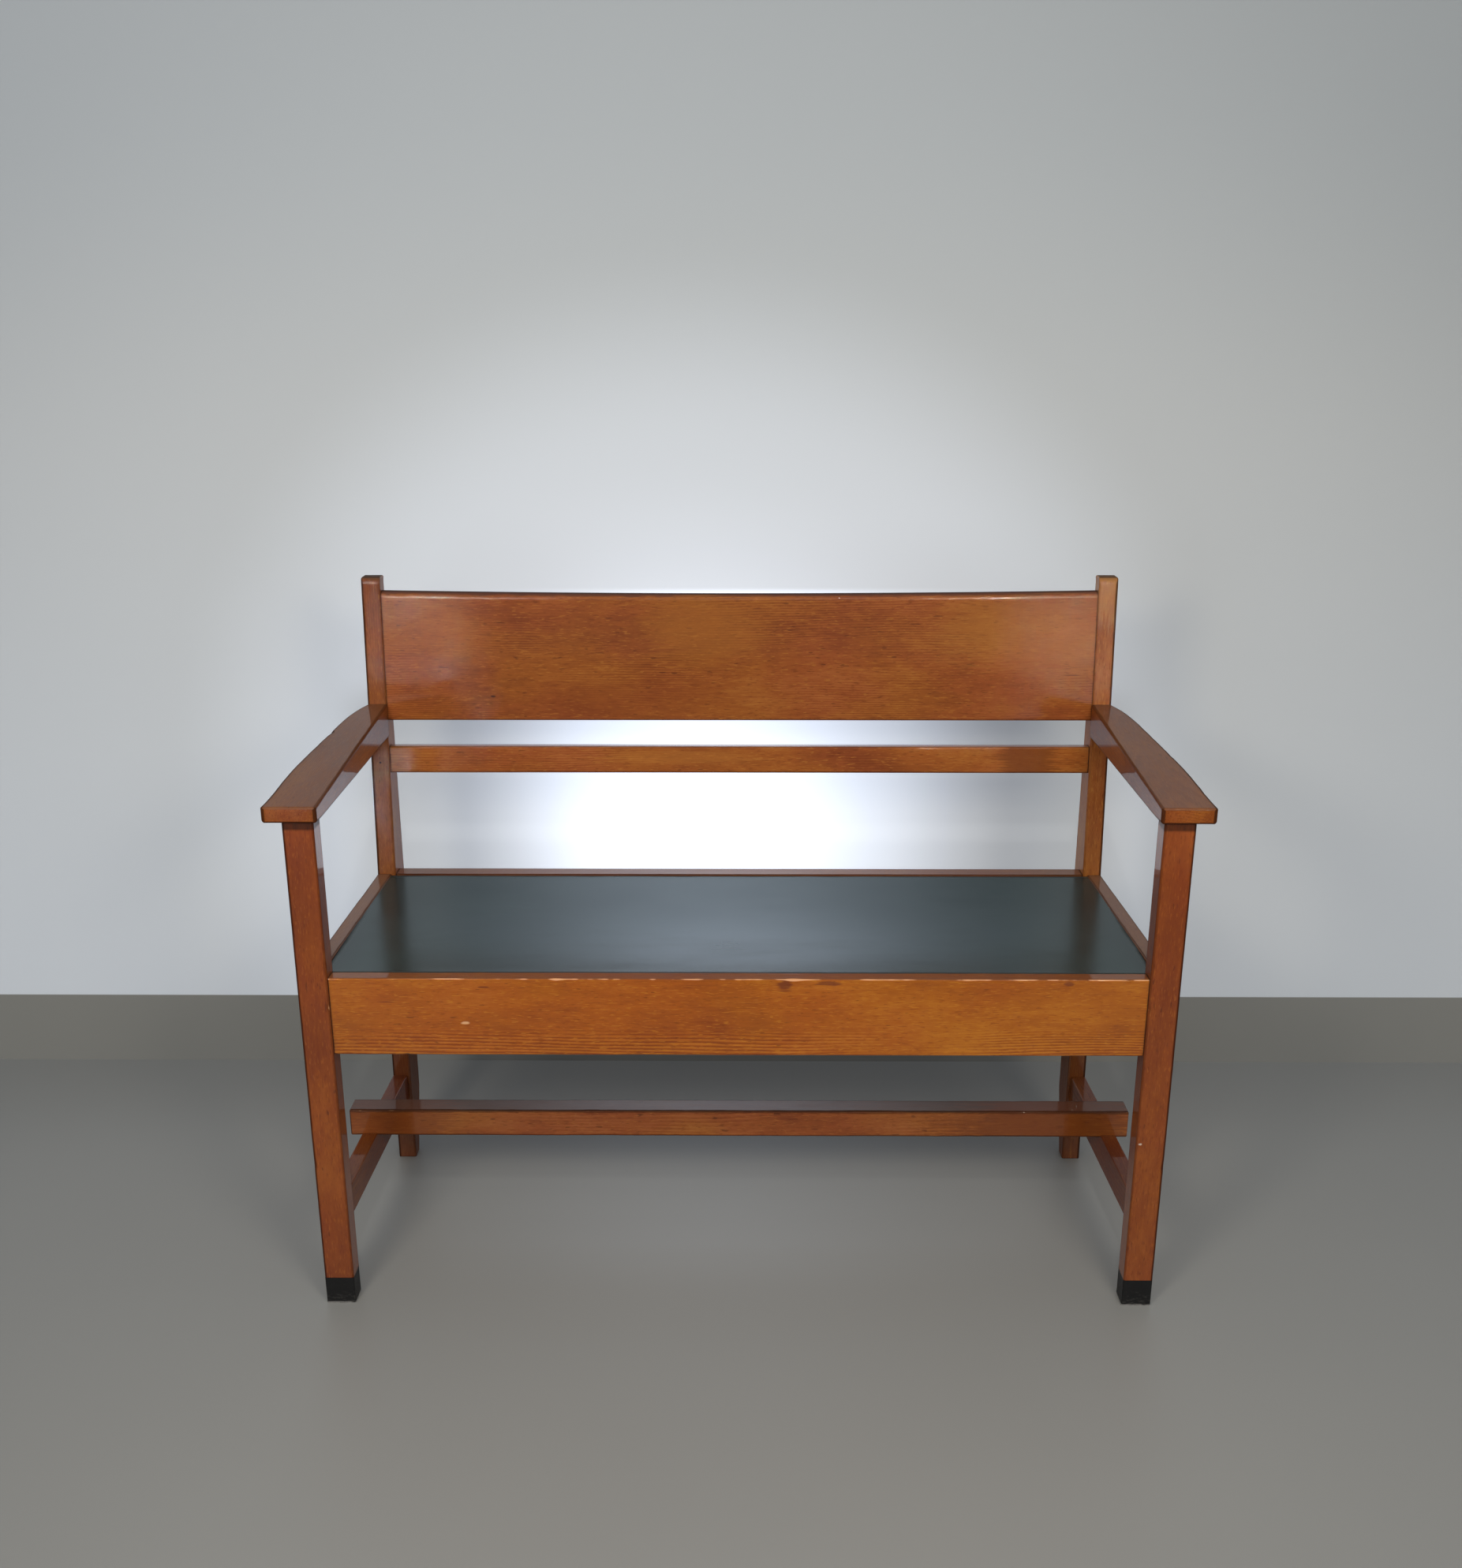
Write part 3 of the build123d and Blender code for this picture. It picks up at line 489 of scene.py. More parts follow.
class Shader:
    """A material being built, one node at a time."""

    def __init__(self, name: str) -> None:
        """Starts an empty node tree.

        Args:
            name: the material's name.
        """
        self.material = bpy.data.materials.new(name)
        self.material.use_nodes = True
        self.tree = self.material.node_tree
        self.tree.nodes.clear()

    def node(self, kind: str, inputs: dict | None = None, out: int | str = 0, stops: tuple = (),
             **settings) -> Sock:
        """Adds a node.

        Args:
            kind: the node's type.
            inputs: value or link of each socket, by its name or number.
            out: which output to return.
            stops: places and colours of a colour ramp.
            **settings: the node's own settings, set before its sockets.

        Returns:
            The chosen output.
        """
        made = self.tree.nodes.new(kind)
        for key, value in settings.items():
            setattr(made, key, value)
        if stops:
            ramp = made.color_ramp.elements
            for spot, (place, colour) in enumerate(stops):
                stop = ramp[spot] if spot < 2 else ramp.new(place)
                stop.position, stop.color = place, (*colour, 1)
        for key, value in (inputs or {}).items():
            if isinstance(value, Sock):
                self.tree.links.new(value.socket, made.inputs[key])
            else:
                made.inputs[key].default_value = value
        return Sock(self, made.outputs[out])

    def place(self) -> Sock:
        """The object's own coordinates."""
        return self.node("ShaderNodeTexCoord", None, "Object")

    def part(self, place: Sock, axis: str) -> Sock:
        """One coordinate of a place."""
        return self.node("ShaderNodeSeparateXYZ", {0: place}, axis)

    def spread(self, place: Sock, stretch: Place) -> Sock:
        """The place, stretched by a factor in each direction."""
        return self.node("ShaderNodeVectorMath", {0: place, 1: stretch}, operation="MULTIPLY")

    def distance(self, place: Sock, centre: Place, reach: Place = (1.0, 1.0, 1.0)) -> Sock:
        """How far a place lies from a centre, with each direction measured in its own reach.

        Args:
            place: the place.
            centre: the centre.
            reach: what counts as 1 in each direction.

        Returns:
            The distance.
        """
        away = self.node("ShaderNodeVectorMath", {0: place, 1: centre}, operation="SUBTRACT")
        away = self.spread(away, tuple(1 / size for size in reach))
        return self.node("ShaderNodeVectorMath", {0: away}, "Value", operation="LENGTH")

    def noise(self, place: Sock, stretch: Place, detail: float = 2.0, rough: float = 0.5) -> Sock:
        """Noise over a stretched place, about 0.5."""
        inputs = {"Vector": self.spread(place, stretch), "Scale": 1.0, "Detail": detail, "Roughness": rough}
        return self.node("ShaderNodeTexNoise", inputs, "Fac")

    def mix(self, share: Sock | float, first: Sock | Colour, second: Sock | Colour,
            blend: str = "MIX") -> Sock:
        """Two colours mixed by a share.

        Args:
            share: how much of the second colour.
            first: the colour at 0.
            second: the colour at 1.
            blend: how they are mixed.

        Returns:
            The mixed colour.
        """
        ends = [colour if isinstance(colour, Sock) else (*colour, 1) for colour in (first, second)]
        inputs = {0: share, 6: ends[0], 7: ends[1]}
        return self.node("ShaderNodeMix", inputs, 2, data_type="RGBA", blend_type=blend)

    def attribute(self, name: str) -> Sock:
        """A number kept on the mesh's points."""
        return self.node("ShaderNodeAttribute", None, "Fac", attribute_name=name, attribute_type="GEOMETRY")

    def finish(self, inputs: dict, height: Sock | None = None, depth: float = 0.0) -> bpy.types.Material:
        """Closes the material with a Principled shader and, with a height, a Bump before it.

        Args:
            inputs: values and links of the shader.
            height: a height map, if there is one.
            depth: how deep it goes, in metres.

        Returns:
            The finished material.
        """
        if height is not None:
            bump = self.node("ShaderNodeBump", {"Strength": 1.0, "Distance": depth, "Height": height})
            inputs = {**inputs, "Normal": bump}
        self.output(self.node("ShaderNodeBsdfPrincipled", inputs))
        return self.material

    def output(self, surface: Sock) -> None:
        """Links a shader to the material's output."""
        output = self.tree.nodes.new("ShaderNodeOutputMaterial")
        self.tree.links.new(surface.socket, output.inputs["Surface"])


@dataclass(frozen=True)
class Mark:
    """A small mark on the wood: where it is, its half sizes, its colour and how strong it is."""

    at: Place
    reach: Place
    colour: Colour
    show: float


@dataclass(frozen=True)
class Oak:
    """Old oak under gloss varnish: blotched tone, faint rings, pores, flecks, dark worn arrises."""

    name: str
    run: Run
    heart: Pair
    seed: float
    deep: Colour = (0.19, 0.045, 0.0075)
    middle: Colour = (0.335, 0.096, 0.0145)
    pale: Colour = (0.45, 0.17, 0.03)
    # Pale colour of rubbed arrises: bare wood, and on the front rail also a painted highlight
    bare_and_glint: Colour = (0.62, 0.36, 0.18)
    # Colour of the tops, set by the topside value: where paler and greyer (arms, side and rear rails) it is a
    # painted reflection of the wall; where darker (back board, posts, front rail, long stretcher) it is
    # painted shade together with patina
    top_shade_sheen_patina: Colour = (0.10, 0.038, 0.02)
    dirt_and_shade: Colour = (0.014, 0.006, 0.004)
    ring: float = 3.0 * MM
    ring_show: float = 0.1
    ring_from: Pair = (-0.1, 0.0)
    ring_where: Pair = (0.45, 0.62)
    patch_show: float = 1.0
    streak_show: float = 0.25
    # How strongly, and from which topside value, the tops take that painted shade, painted reflection and
    # patina
    top_shade_sheen_patina_show: float = 0.45
    top_shade_sheen_patina_from: Pair = (0.25, 0.9)
    # Painted shade: a dark line over the uppermost face
    crest_shade: float = 0.0
    edge_show: float = 0.8
    bare_and_glint_show: float = 0.6
    gloss: float = 0.06
    varnish: float = 1.0
    coat: float = 1.5
    nose_varnish: float = 0.0
    marks: tuple[Mark, ...] = ()

    def straightened(self, shader: Shader) -> Sock:
        """Object coordinates turned so that the grain runs along X."""
        turns = {Run.ACROSS: (0, 0, 0), Run.BACK: (0, 0, -math.pi / 2), Run.UP: (0, math.pi / 2, 0)}
        return shader.node("ShaderNodeMapping", {"Vector": shader.place(), "Rotation": turns[self.run]})

    def heart_place(self) -> Place:
        """The heart line in the turned coordinates.

        Returns:
            A place on the line.
        """
        first, second = self.heart
        turned = {Run.ACROSS: (first, second), Run.BACK: (-first, second), Run.UP: (second, -first)}
        return (0.0, *turned[self.run])

    def rings(self, shader: Shader, straight: Sock, place: Sock) -> Sock:
        """Dark late wood of the rings, where they lie far enough from the heart to show.

        The ring phase is the distance from the heart line, plus two noises, over the ring's width.

        Args:
            shader: the material.
            straight: the turned coordinates.
            place: the same, moved by the seed.

        Returns:
            How dark the wood is, about 0.
        """
        reach = shader.distance(straight, self.heart_place(), (1 / 0.03, 1.0, 1.0))
        slow = shader.noise(place, (1.6, 9, 9), 2)
        quick = shader.noise(place, (14, 90, 90), 2)
        phase = (reach + (slow - 0.5) * 0.03 + (quick - 0.5) * 0.0016) / self.ring
        share = phase.math("FRACT")
        return (share.over(0.1, 0.75) * (1 - share.over(0.8, 1.0)) - 0.45) * reach.over(*self.ring_from)

    def grain(self, shader: Shader) -> dict[str, Sock]:
        """The noises of the wood by name, from broad patches to single pores.

        Args:
            shader: the material.

        Returns:
            The noises, mostly about 0.5.
        """
        straight = self.straightened(shader)
        shift = (self.seed * 1.7, self.seed, self.seed * 0.6)
        place = shader.node("ShaderNodeVectorMath", {0: straight, 1: shift})
        dash = shader.noise(place, (95, 640, 640), 1)
        return {
            "late": self.rings(shader, straight, place),
            "patch": shader.noise(place, (6, 13, 13), 3, 0.5),
            "where": shader.noise(shader.spread(place, (1, -1, 1)), (4, 11, 11), 2),
            "hue": shader.noise(shader.spread(place, (-1, 1, -1)), (4.5, 9, 9), 3, 0.55),
            "mottle": shader.noise(place, (30, 110, 110), 3, 0.6),
            "streak": shader.noise(place, (20, 400, 400), 3, 0.6),
            "fibre": shader.noise(place, (90, 1500, 1500), 2),
            "dark_dash": dash.over(0.6, 0.69),
            "pale_dash": (1 - dash).over(0.6, 0.69),
            "fleck": shader.noise(place, (60, 300, 300), 1).over(0.69, 0.77),
        }

    def wood(self, shader: Shader, grain: dict[str, Sock]) -> Sock:
        """Colour of the wood itself: three colours over the tone, then hue, dashes and flecks.

        Args:
            shader: the material.
            grain: the noises of the wood.

        Returns:
            The colour.
        """
        tone = 0.5 + (grain["patch"] - 0.5) * self.patch_show + (grain["mottle"] - 0.5) * 0.45
        tone = tone + (grain["streak"] - 0.5) * self.streak_show
        tone = tone - grain["late"] * self.ring_show * grain["where"].over(*self.ring_where) * 2.2
        stops = ((0.15, self.deep), (0.85, self.pale), (0.5, self.middle))
        colour = shader.node("ShaderNodeValToRGB", {0: tone}, stops=stops)
        redder = shader.mix(1.0, colour, (0.95, 0.82, 1.2), "MULTIPLY")
        colour = shader.mix(grain["hue"].over(0.4, 0.62), colour, redder)
        colour = shader.mix(grain["pale_dash"] * 0.5, colour, self.pale)
        colour = shader.mix(grain["dark_dash"] * 0.55, colour, self.deep)
        return shader.mix(grain["fleck"] * 0.6, colour, tuple(0.5 * part for part in self.deep))

    def marked(self, shader: Shader, colour: Sock, uneven: Sock) -> Sock:
        """The colour with the small marks on it, each with an uneven edge.

        Args:
            shader: the material.
            colour: the colour so far.
            uneven: a noise about 0.5.

        Returns:
            The colour with the marks.
        """
        place = shader.place()
        for mark in self.marks:
            gap = shader.distance(place, mark.at, mark.reach)
            share = 1 - (gap + (uneven - 0.5) * 1.6).over(0.5, 1.0)
            colour = shader.mix(share * mark.show, colour, mark.colour)
        return colour

    def material(self) -> bpy.types.Material:
        """Builds the material: the wood, then what lies on it, then the varnish.

        Returns:
            The new material.
        """
        shader = Shader(self.name)
        grain = self.grain(shader)
        mottle, streak = grain["mottle"], grain["streak"]
        colour = self.wood(shader, grain)
        upward = shader.attribute("topside")
        # Tops take the colour of painted shade, painted reflection and patina
        top_shade_sheen_patina_mask = upward + (mottle - 0.5) * 0.8
        colour = shader.mix(top_shade_sheen_patina_mask.over(*self.top_shade_sheen_patina_from) * self.top_shade_sheen_patina_show, colour, self.top_shade_sheen_patina)
        colour = self.marked(shader, colour, streak)
        bare_and_glint = (shader.attribute("wear") + (streak - 0.5) * 0.9 + (mottle - 0.5) * 0.9).over(0.8, 1.1)
        line = shader.attribute("arris").over(0.1, 0.85) * (1 - bare_and_glint)
        # The uppermost face joins the dark arris lines as painted shade
        line = line.math("MAXIMUM", upward.over(0.8, 0.93) * self.crest_shade)
        colour = shader.mix(line * self.edge_show, colour, tuple(0.16 * part for part in self.deep))
        colour = shader.mix(bare_and_glint * self.bare_and_glint_show, colour, self.bare_and_glint)
        # Dirt at the joints, and the painted shadow band at the top of the front legs
        dirt_and_shade = (shader.attribute("grime") + (mottle - 0.5) * 0.5).over(0.2, 0.85)
        colour = shader.mix(dirt_and_shade * 0.94, colour, self.dirt_and_shade)
        varnish = (1 - line * 0.85 - dirt_and_shade * 0.7 - bare_and_glint * 0.6 - top_shade_sheen_patina_mask * 0.25) * self.varnish
        varnish = varnish.math("MAXIMUM", 0.0)
        if self.nose_varnish:
            dull = (streak + mottle + grain["patch"] * 0.6).over(1.2, 1.42) * 0.8
            nose = upward.over(0.05, 0.16) * (1 - upward.over(0.4, 0.6)) * (1 - dull)
            varnish = varnish.math("MAXIMUM", nose * self.nose_varnish)
        height = grain["fibre"] * 0.3 - grain["late"] * 0.2 - grain["dark_dash"] * 0.7 - grain["fleck"]
        return shader.finish({
            "Base Color": colour, "Roughness": 0.5 + (mottle - 0.5) * 0.2, "Specular IOR Level": 0.12,
            "Coat Weight": varnish, "Coat Roughness": self.gloss, "Coat IOR": self.coat,
        }, height, 0.05 * MM)


@dataclass(frozen=True)
class SeatCover:
    """Dark green smooth covering, slightly mottled, with faint rubs along its length."""

    name: str = "seat_cover_green"
    deep: Colour = (0.011, 0.029, 0.028)
    pale: Colour = (0.018, 0.041, 0.039)
    dirt_and_shade: Colour = (0.02, 0.012, 0.007)
    smudge_at: Place = (-0.01, -0.088, 0.446)
    smudge_reach: Place = (0.17, 0.04, 0.1)

    def material(self) -> bpy.types.Material:
        """Builds the material: noises for tone and surface, and a faint smudge near the front.

        Returns:
            The new material.
        """
        shader = Shader(self.name)
        place = shader.place()
        cloud = shader.noise(place, (9, 14, 9), 4, 0.6)
        grain = shader.noise(place, (700, 900, 700), 2)
        rub = shader.noise(place, (14, 240, 30), 3, 0.6).over(0.56, 0.8)
        smudge = shader.noise(place, (8, 30, 20), 2, 0.5).over(0.5, 0.75)
        tone = cloud * 0.8 + (grain - 0.5) * 0.5 + rub * 0.15
        colour = shader.mix(tone.over(0.2, 0.8), self.deep, self.pale)
        # Dirt and painted shade along the edges
        dirt_and_shade = (shader.attribute("grime") + (cloud - 0.5) * 0.5).over(0.25, 0.8)
        colour = shader.mix(dirt_and_shade * 0.9, colour, self.dirt_and_shade)
        gap = shader.distance(place, self.smudge_at, self.smudge_reach)
        broad = (1 - gap.over(0.0, 1.0)) * shader.noise(place, (9, 30, 20), 1).over(0.1, 0.8)
        rough = 0.22 + (cloud - 0.5) * 0.1 + rub * 0.03 + smudge * 0.03 + broad * 0.08 + dirt_and_shade * 0.7
        return shader.finish({
            "Base Color": colour, "Roughness": rough, "IOR": 1.51, "Specular Tint": (0.8, 0.93, 1.0, 1.0),
        }, grain + cloud * 2.0, 0.02 * MM)


@dataclass(frozen=True)
class Softwood:
    """Plain sawn softwood of the hidden strips and blocks."""

    name: str = "softwood"
    deep: Colour = (0.3, 0.19, 0.09)
    pale: Colour = (0.52, 0.38, 0.22)

    def material(self) -> bpy.types.Material:
        """Builds the material: streaks along X and saw marks across.

        Returns:
            The new material.
        """
        shader = Shader(self.name)
        place = shader.place()
        streak = shader.noise(place, (6, 160, 160), 4, 0.6)
        saw = shader.noise(place, (500, 20, 20), 1)
        colour = shader.mix(streak.over(0.3, 0.7), self.deep, self.pale)
        rough = 0.75 + (saw - 0.5) * 0.1
        return shader.finish({"Base Color": colour, "Roughness": rough}, saw + streak, 0.1 * MM)


@dataclass(frozen=True)
class Black:
    """Black foot covering, dull, scuffed grey near the floor."""

    name: str = "black_foot"
    body: Colour = (0.004, 0.004, 0.0045)
    scuff: Colour = (0.05, 0.048, 0.045)
    worn_rim: Colour = (0.3, 0.29, 0.28)

    def material(self) -> bpy.types.Material:
        """Builds the material: scuffs thicken towards the floor.

        Returns:
            The new material.
        """
        shader = Shader(self.name)
        place = shader.place()
        height = shader.part(place, "Z")
        patch = shader.noise(place, (160, 160, 420), 4, 0.65)
        scuffed = (patch - height * 7).over(0.42, 0.66)
        colour = shader.mix(scuffed * 0.8, self.body, self.scuff)
        rim = (1 - height.over(0.0012, 0.0028)) * patch.over(0.35, 0.5)
        colour = shader.mix(rim * 0.8, colour, self.worn_rim)
        inputs = {"Base Color": colour, "Roughness": 0.5 + scuffed * 0.3, "Specular IOR Level": 0.35}
        return shader.finish(inputs, patch, 0.25 * MM)


@dataclass(frozen=True)
class Steel:
    """Dull old steel of the screws."""

    name: str = "old_steel"
    bright: Colour = (0.42, 0.41, 0.39)
    rust: Colour = (0.12, 0.055, 0.03)

    def material(self) -> bpy.types.Material:
        """Builds the material: metal with rust spots.

        Returns:
            The new material.
        """
        shader = Shader(self.name)
        place = shader.place()
        spot = shader.noise(place, (700, 700, 700), 3).over(0.52, 0.7)
        colour = shader.mix(spot, self.bright, self.rust)
        return shader.finish({"Base Color": colour, "Metallic": 1 - spot, "Roughness": 0.35 + spot * 0.4})


def place_bar(
    bar: Bar, finish: "Oak | SeatCover", *, stands_for: str, body: str = "frame",
    bend: Callable[[np.ndarray], np.ndarray] | None = None, mirror: bool = False,
) -> None:
    """Builds a bar, dresses it and puts it in the place of its CAD node.

    Args:
        bar: the piece's sizes.
        finish: what it is made of.
        stands_for: the CAD node that it replaces.
        body: the body that it rides on.
        bend: maps its points to their final places.
        mirror: turns a right-hand piece into the left-hand one.
    """
    points, values = bar.surface()
    if bend is not None:
        points = bend(points)
    if mirror:
        points = points * np.array([-1, 1, 1])
    piece = shell(bar.name, points, values)
    piece.data.materials.append(finish.material())
    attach(piece, body)
    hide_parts(stands_for)
    log.info("%s: %d faces", bar.name, len(piece.data.polygons))


@dataclass
class Stand:
    """The four uprights: square front legs, and rear posts raked above the seat."""

    seat_level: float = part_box("rear_seat_rail")[1].z
    post_top_depth: float = 23.0 * MM
    post_foot_depth: float = 23.0 * MM
    post_foot_cut: float = 93.0 * MM
    leg_round: float = 1.7 * MM
    post_round: float = 2.2 * MM
    post_top_rounds: Four = (2.5 * MM, 2.5 * MM, 9.0 * MM, 4.0 * MM)
    arm_lift: float = 1.5 * MM
    leg_nicks: tuple[Nick, ...] = (
        Nick(0, 0.412, 0.004, 1.6 * MM), Nick(0, 0.466, 0.005, 1.2 * MM), Nick(1, 0.2, 0.006, 0.8 * MM))
    leg_chip: Mark = Mark((0.4886, -0.1955, 0.231), (0.003, 0.01, 0.0018), (0.62, 0.52, 0.42), 0.8)

    def front_leg(self, side: str) -> None:
        """One front leg, from the top of its black foot to the underside of the arm.

        Args:
            side: "left" or "right".
        """
        low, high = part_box("front_leg_right")
        foot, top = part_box("foot_sleeve_right")[1].z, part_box("armrest_right")[0].z + self.arm_lift
        left = side == "left"
        bar = Bar(
            f"leg_front_{side}", Run.UP, stations(foot, top), (low.x, low.y), (high.x, high.y),
            (self.leg_round,) * 4, rub=(0.75, 0.5, 0.6, 0.6), nicks=self.leg_nicks, grime=(0.5, 0.9),
            # Painted shadow: the end band darkens the top 11 mm of the leg, in the shade of the arm above
            end_shadow_band=(11 * MM, 0.64), outline=(0.45, 1.0, 0.6, 0.6), seed=11 if left else 12,
        )
        oak = Oak(
            f"oak_front_leg_{side}", Run.UP, (-0.45 if left else 0.58, -0.3), 2.1 if left else 5.3,
            deep=(0.135, 0.023, 0.003), middle=(0.216, 0.048, 0.0045), pale=(0.315, 0.092, 0.011),
            ring_show=0.02, streak_show=0.12, varnish=0.85, marks=() if left else (self.leg_chip,),
        )
        place_bar(bar, oak, stands_for=f"front_leg_{side}", mirror=left)

    def rear_post(self, side: str) -> None:
        """One rear post: upright to the seat, front raked above, foot cut back.

        Args:
            side: "left" or "right".
        """
        low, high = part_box("rear_post_right")
        along = stations(low.z, high.z, 0, max(self.post_top_rounds))
        along = np.unique(np.concatenate([along, [self.seat_level, self.post_foot_cut]]))
        rise = (along - self.seat_level) / (high.z - self.seat_level)
        front = low.y + np.clip(rise, 0, 1) * (high.y - low.y - self.post_top_depth)
        cut = np.clip(along / self.post_foot_cut, 0, 1)
        back = low.y + self.post_foot_depth + cut * (high.y - low.y - self.post_foot_depth)
        left = side == "left"
        bar = Bar(
            f"post_rear_{side}", Run.UP, along, (low.x, front), (high.x, back), (self.post_round,) * 4,
            rub=(0.5,) * 4, end_rounds=self.post_top_rounds, grime=(0.6, 0.1),
            outline=(0.35, 1.0, 0.6, 0.9), seed=21 if left else 22,
        )
        middle = -0.4913 if left else 0.4913
        # Painted shade: the lower part of the post is darkened as if in shadow
        dull = Mark((middle, 0.17, 0.12), (0.2, 0.2, 0.26), (0.1, 0.024, 0.005), 0.65)
        hole = Mark((middle, 0.16, 0.6078), (0.0017, 0.01, 0.0017), (0.004, 0.002, 0.001), 0.95)
        # Painted reflection: a paler patch near the top of the right post
        painted_light = Mark((middle, 0.175, 0.845), (0.1, 0.1, 0.06), (0.46, 0.22, 0.07), 0.5)
        tones = ((0.18, 0.045, 0.0075), (0.31, 0.097, 0.0145), (0.46, 0.19, 0.035))
        if left:
            tones = ((0.14, 0.036, 0.007), (0.24, 0.072, 0.013), (0.34, 0.13, 0.025))
        oak = Oak(
            f"oak_rear_post_{side}", Run.UP, (0.44, 0.3), 7.9 if left else 9.4, coat=2.0, varnish=0.27,
            nose_varnish=0.7, top_shade_sheen_patina_show=0.8, top_shade_sheen_patina_from=(0.35, 0.85), top_shade_sheen_patina=(0.11, 0.06, 0.03), crest_shade=0.9,
            deep=tones[0], middle=tones[1], pale=tones[2], marks=(hole if left else painted_light, dull),
        )
        place_bar(bar, oak, stands_for=f"rear_post_{side}", mirror=left)

    def build(self) -> None:
        """Builds all four."""
        for side in ("left", "right"):
            self.front_leg(side)
            self.rear_post(side)


@dataclass
class Arms:
    """The two arms: flat below, straight inside, curved outside, rising towards the post."""

    front_thickness: float = 19.0 * MM
    rear_thickness: float = 45.0 * MM
    lift: float = 1.5 * MM
    inward: float = 1.0 * MM
    top_round: float = 2.2 * MM
    under_round: float = 1.6 * MM
    corner_round: float = 5.0 * MM
    post_outer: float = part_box("rear_post_right")[1].x
    leg_front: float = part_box("front_leg_right")[0].y
    post_front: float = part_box("rear_post_right")[0].y
    seat_level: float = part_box("rear_seat_rail")[1].z
    rake: float = RAKE_LEAN / RAKE_RISE
    curve_shares: tuple[Pair, ...] = ((0.916, 0.218), (0.776, 0.488), (0.526, 0.778), (0.303, 0.949))
    left_nicks: tuple[Nick, ...] = (Nick(2, 0.0515, 0.0045, 2.6 * MM), Nick(2, 0.044, 0.002, 1.2 * MM))
    right_nicks: tuple[Nick, ...] = (Nick(2, -0.03, 0.006, 1.0 * MM),)

    def outer_edge(self, along: np.ndarray, widest: float, front: float, rear: float) -> np.ndarray:
        """The outer edge: the polynomial of degree 5 through six points of the curve.

        Args:
            along: places from front to back.
            widest: how far out the front corner is.
            front: where the front corner is.
            rear: where the arm meets the post.

        Returns:
            How far out the edge is at each place.
        """
        reach, deep = widest - self.post_outer, self.post_front - self.leg_front
        known = [(self.post_outer + out * reach, self.leg_front + back * deep)
                 for out, back in self.curve_shares]
        x, y = np.array([(widest, front), *known, (self.post_outer, rear)]).T
        return np.polynomial.Polynomial.fit(y, x, 5)(along)

    def arm(self, side: str) -> None:
        """One arm, its rear end cut to the raked front of the post.

        Args:
            side: "left" or "right".
        """
        low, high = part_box("armrest_right")
        rear = self.post_front + (high.z - self.seat_level) * self.rake
        along = stations(low.y, rear, self.corner_round, 0, 3 * MM)
        share = (along - low.y) / (rear - low.y)
        under = low.z + self.lift
        top = under + self.front_thickness + share * (self.rear_thickness - self.front_thickness)
        left = side == "left"

        def cut_to_post(points: np.ndarray) -> np.ndarray:
            """Moves each point back or forward so that the last row lies on the post's front.

            Args:
                points: the arm's points, with a square rear end.

            Returns:
                The moved points.
            """
            end = self.post_front + (points[..., 2] - self.seat_level) * self.rake
            moved = points.copy()
            moved[..., 1] = low.y + (points[..., 1] - low.y) * (end - low.y) / (rear - low.y)
            return moved

        bar = Bar(
            f"arm_{side}", Run.BACK, along, (low.x - self.inward, under),
            (self.outer_edge(along, high.x, low.y, rear), top),
            (self.under_round, self.under_round, self.top_round, self.top_round), rub=(0.5, 0.5, 0.55, 0.75),
            start_rounds=(0.6 * self.corner_round, 0.8 * self.corner_round, self.under_round, self.top_round),
            nicks=self.left_nicks if left else self.right_nicks, grime=(0.0, 0.8),
            start_swell=(2.5 * MM, 2.5 * MM, 0.5 * MM, 0.5 * MM),
            outline=(0.7, 0.8, 1.0, 0.5), seed=31 if left else 32,
        )
        oak = Oak(
            f"oak_arm_{side}", Run.BACK, (0.5, 0.5), 3.3 if left else 4.7,
            deep=(0.12, 0.026, 0.003), middle=(0.205, 0.05, 0.003), pale=(0.31, 0.1, 0.011),
            top_shade_sheen_patina_show=0.5, top_shade_sheen_patina=(0.135, 0.07, 0.04), varnish=0.65,
        )
        place_bar(bar, oak, stands_for=f"armrest_{side}", bend=cut_to_post, mirror=left)

    def build(self) -> None:
        """Builds both arms."""
        self.arm("left")
        self.arm("right")


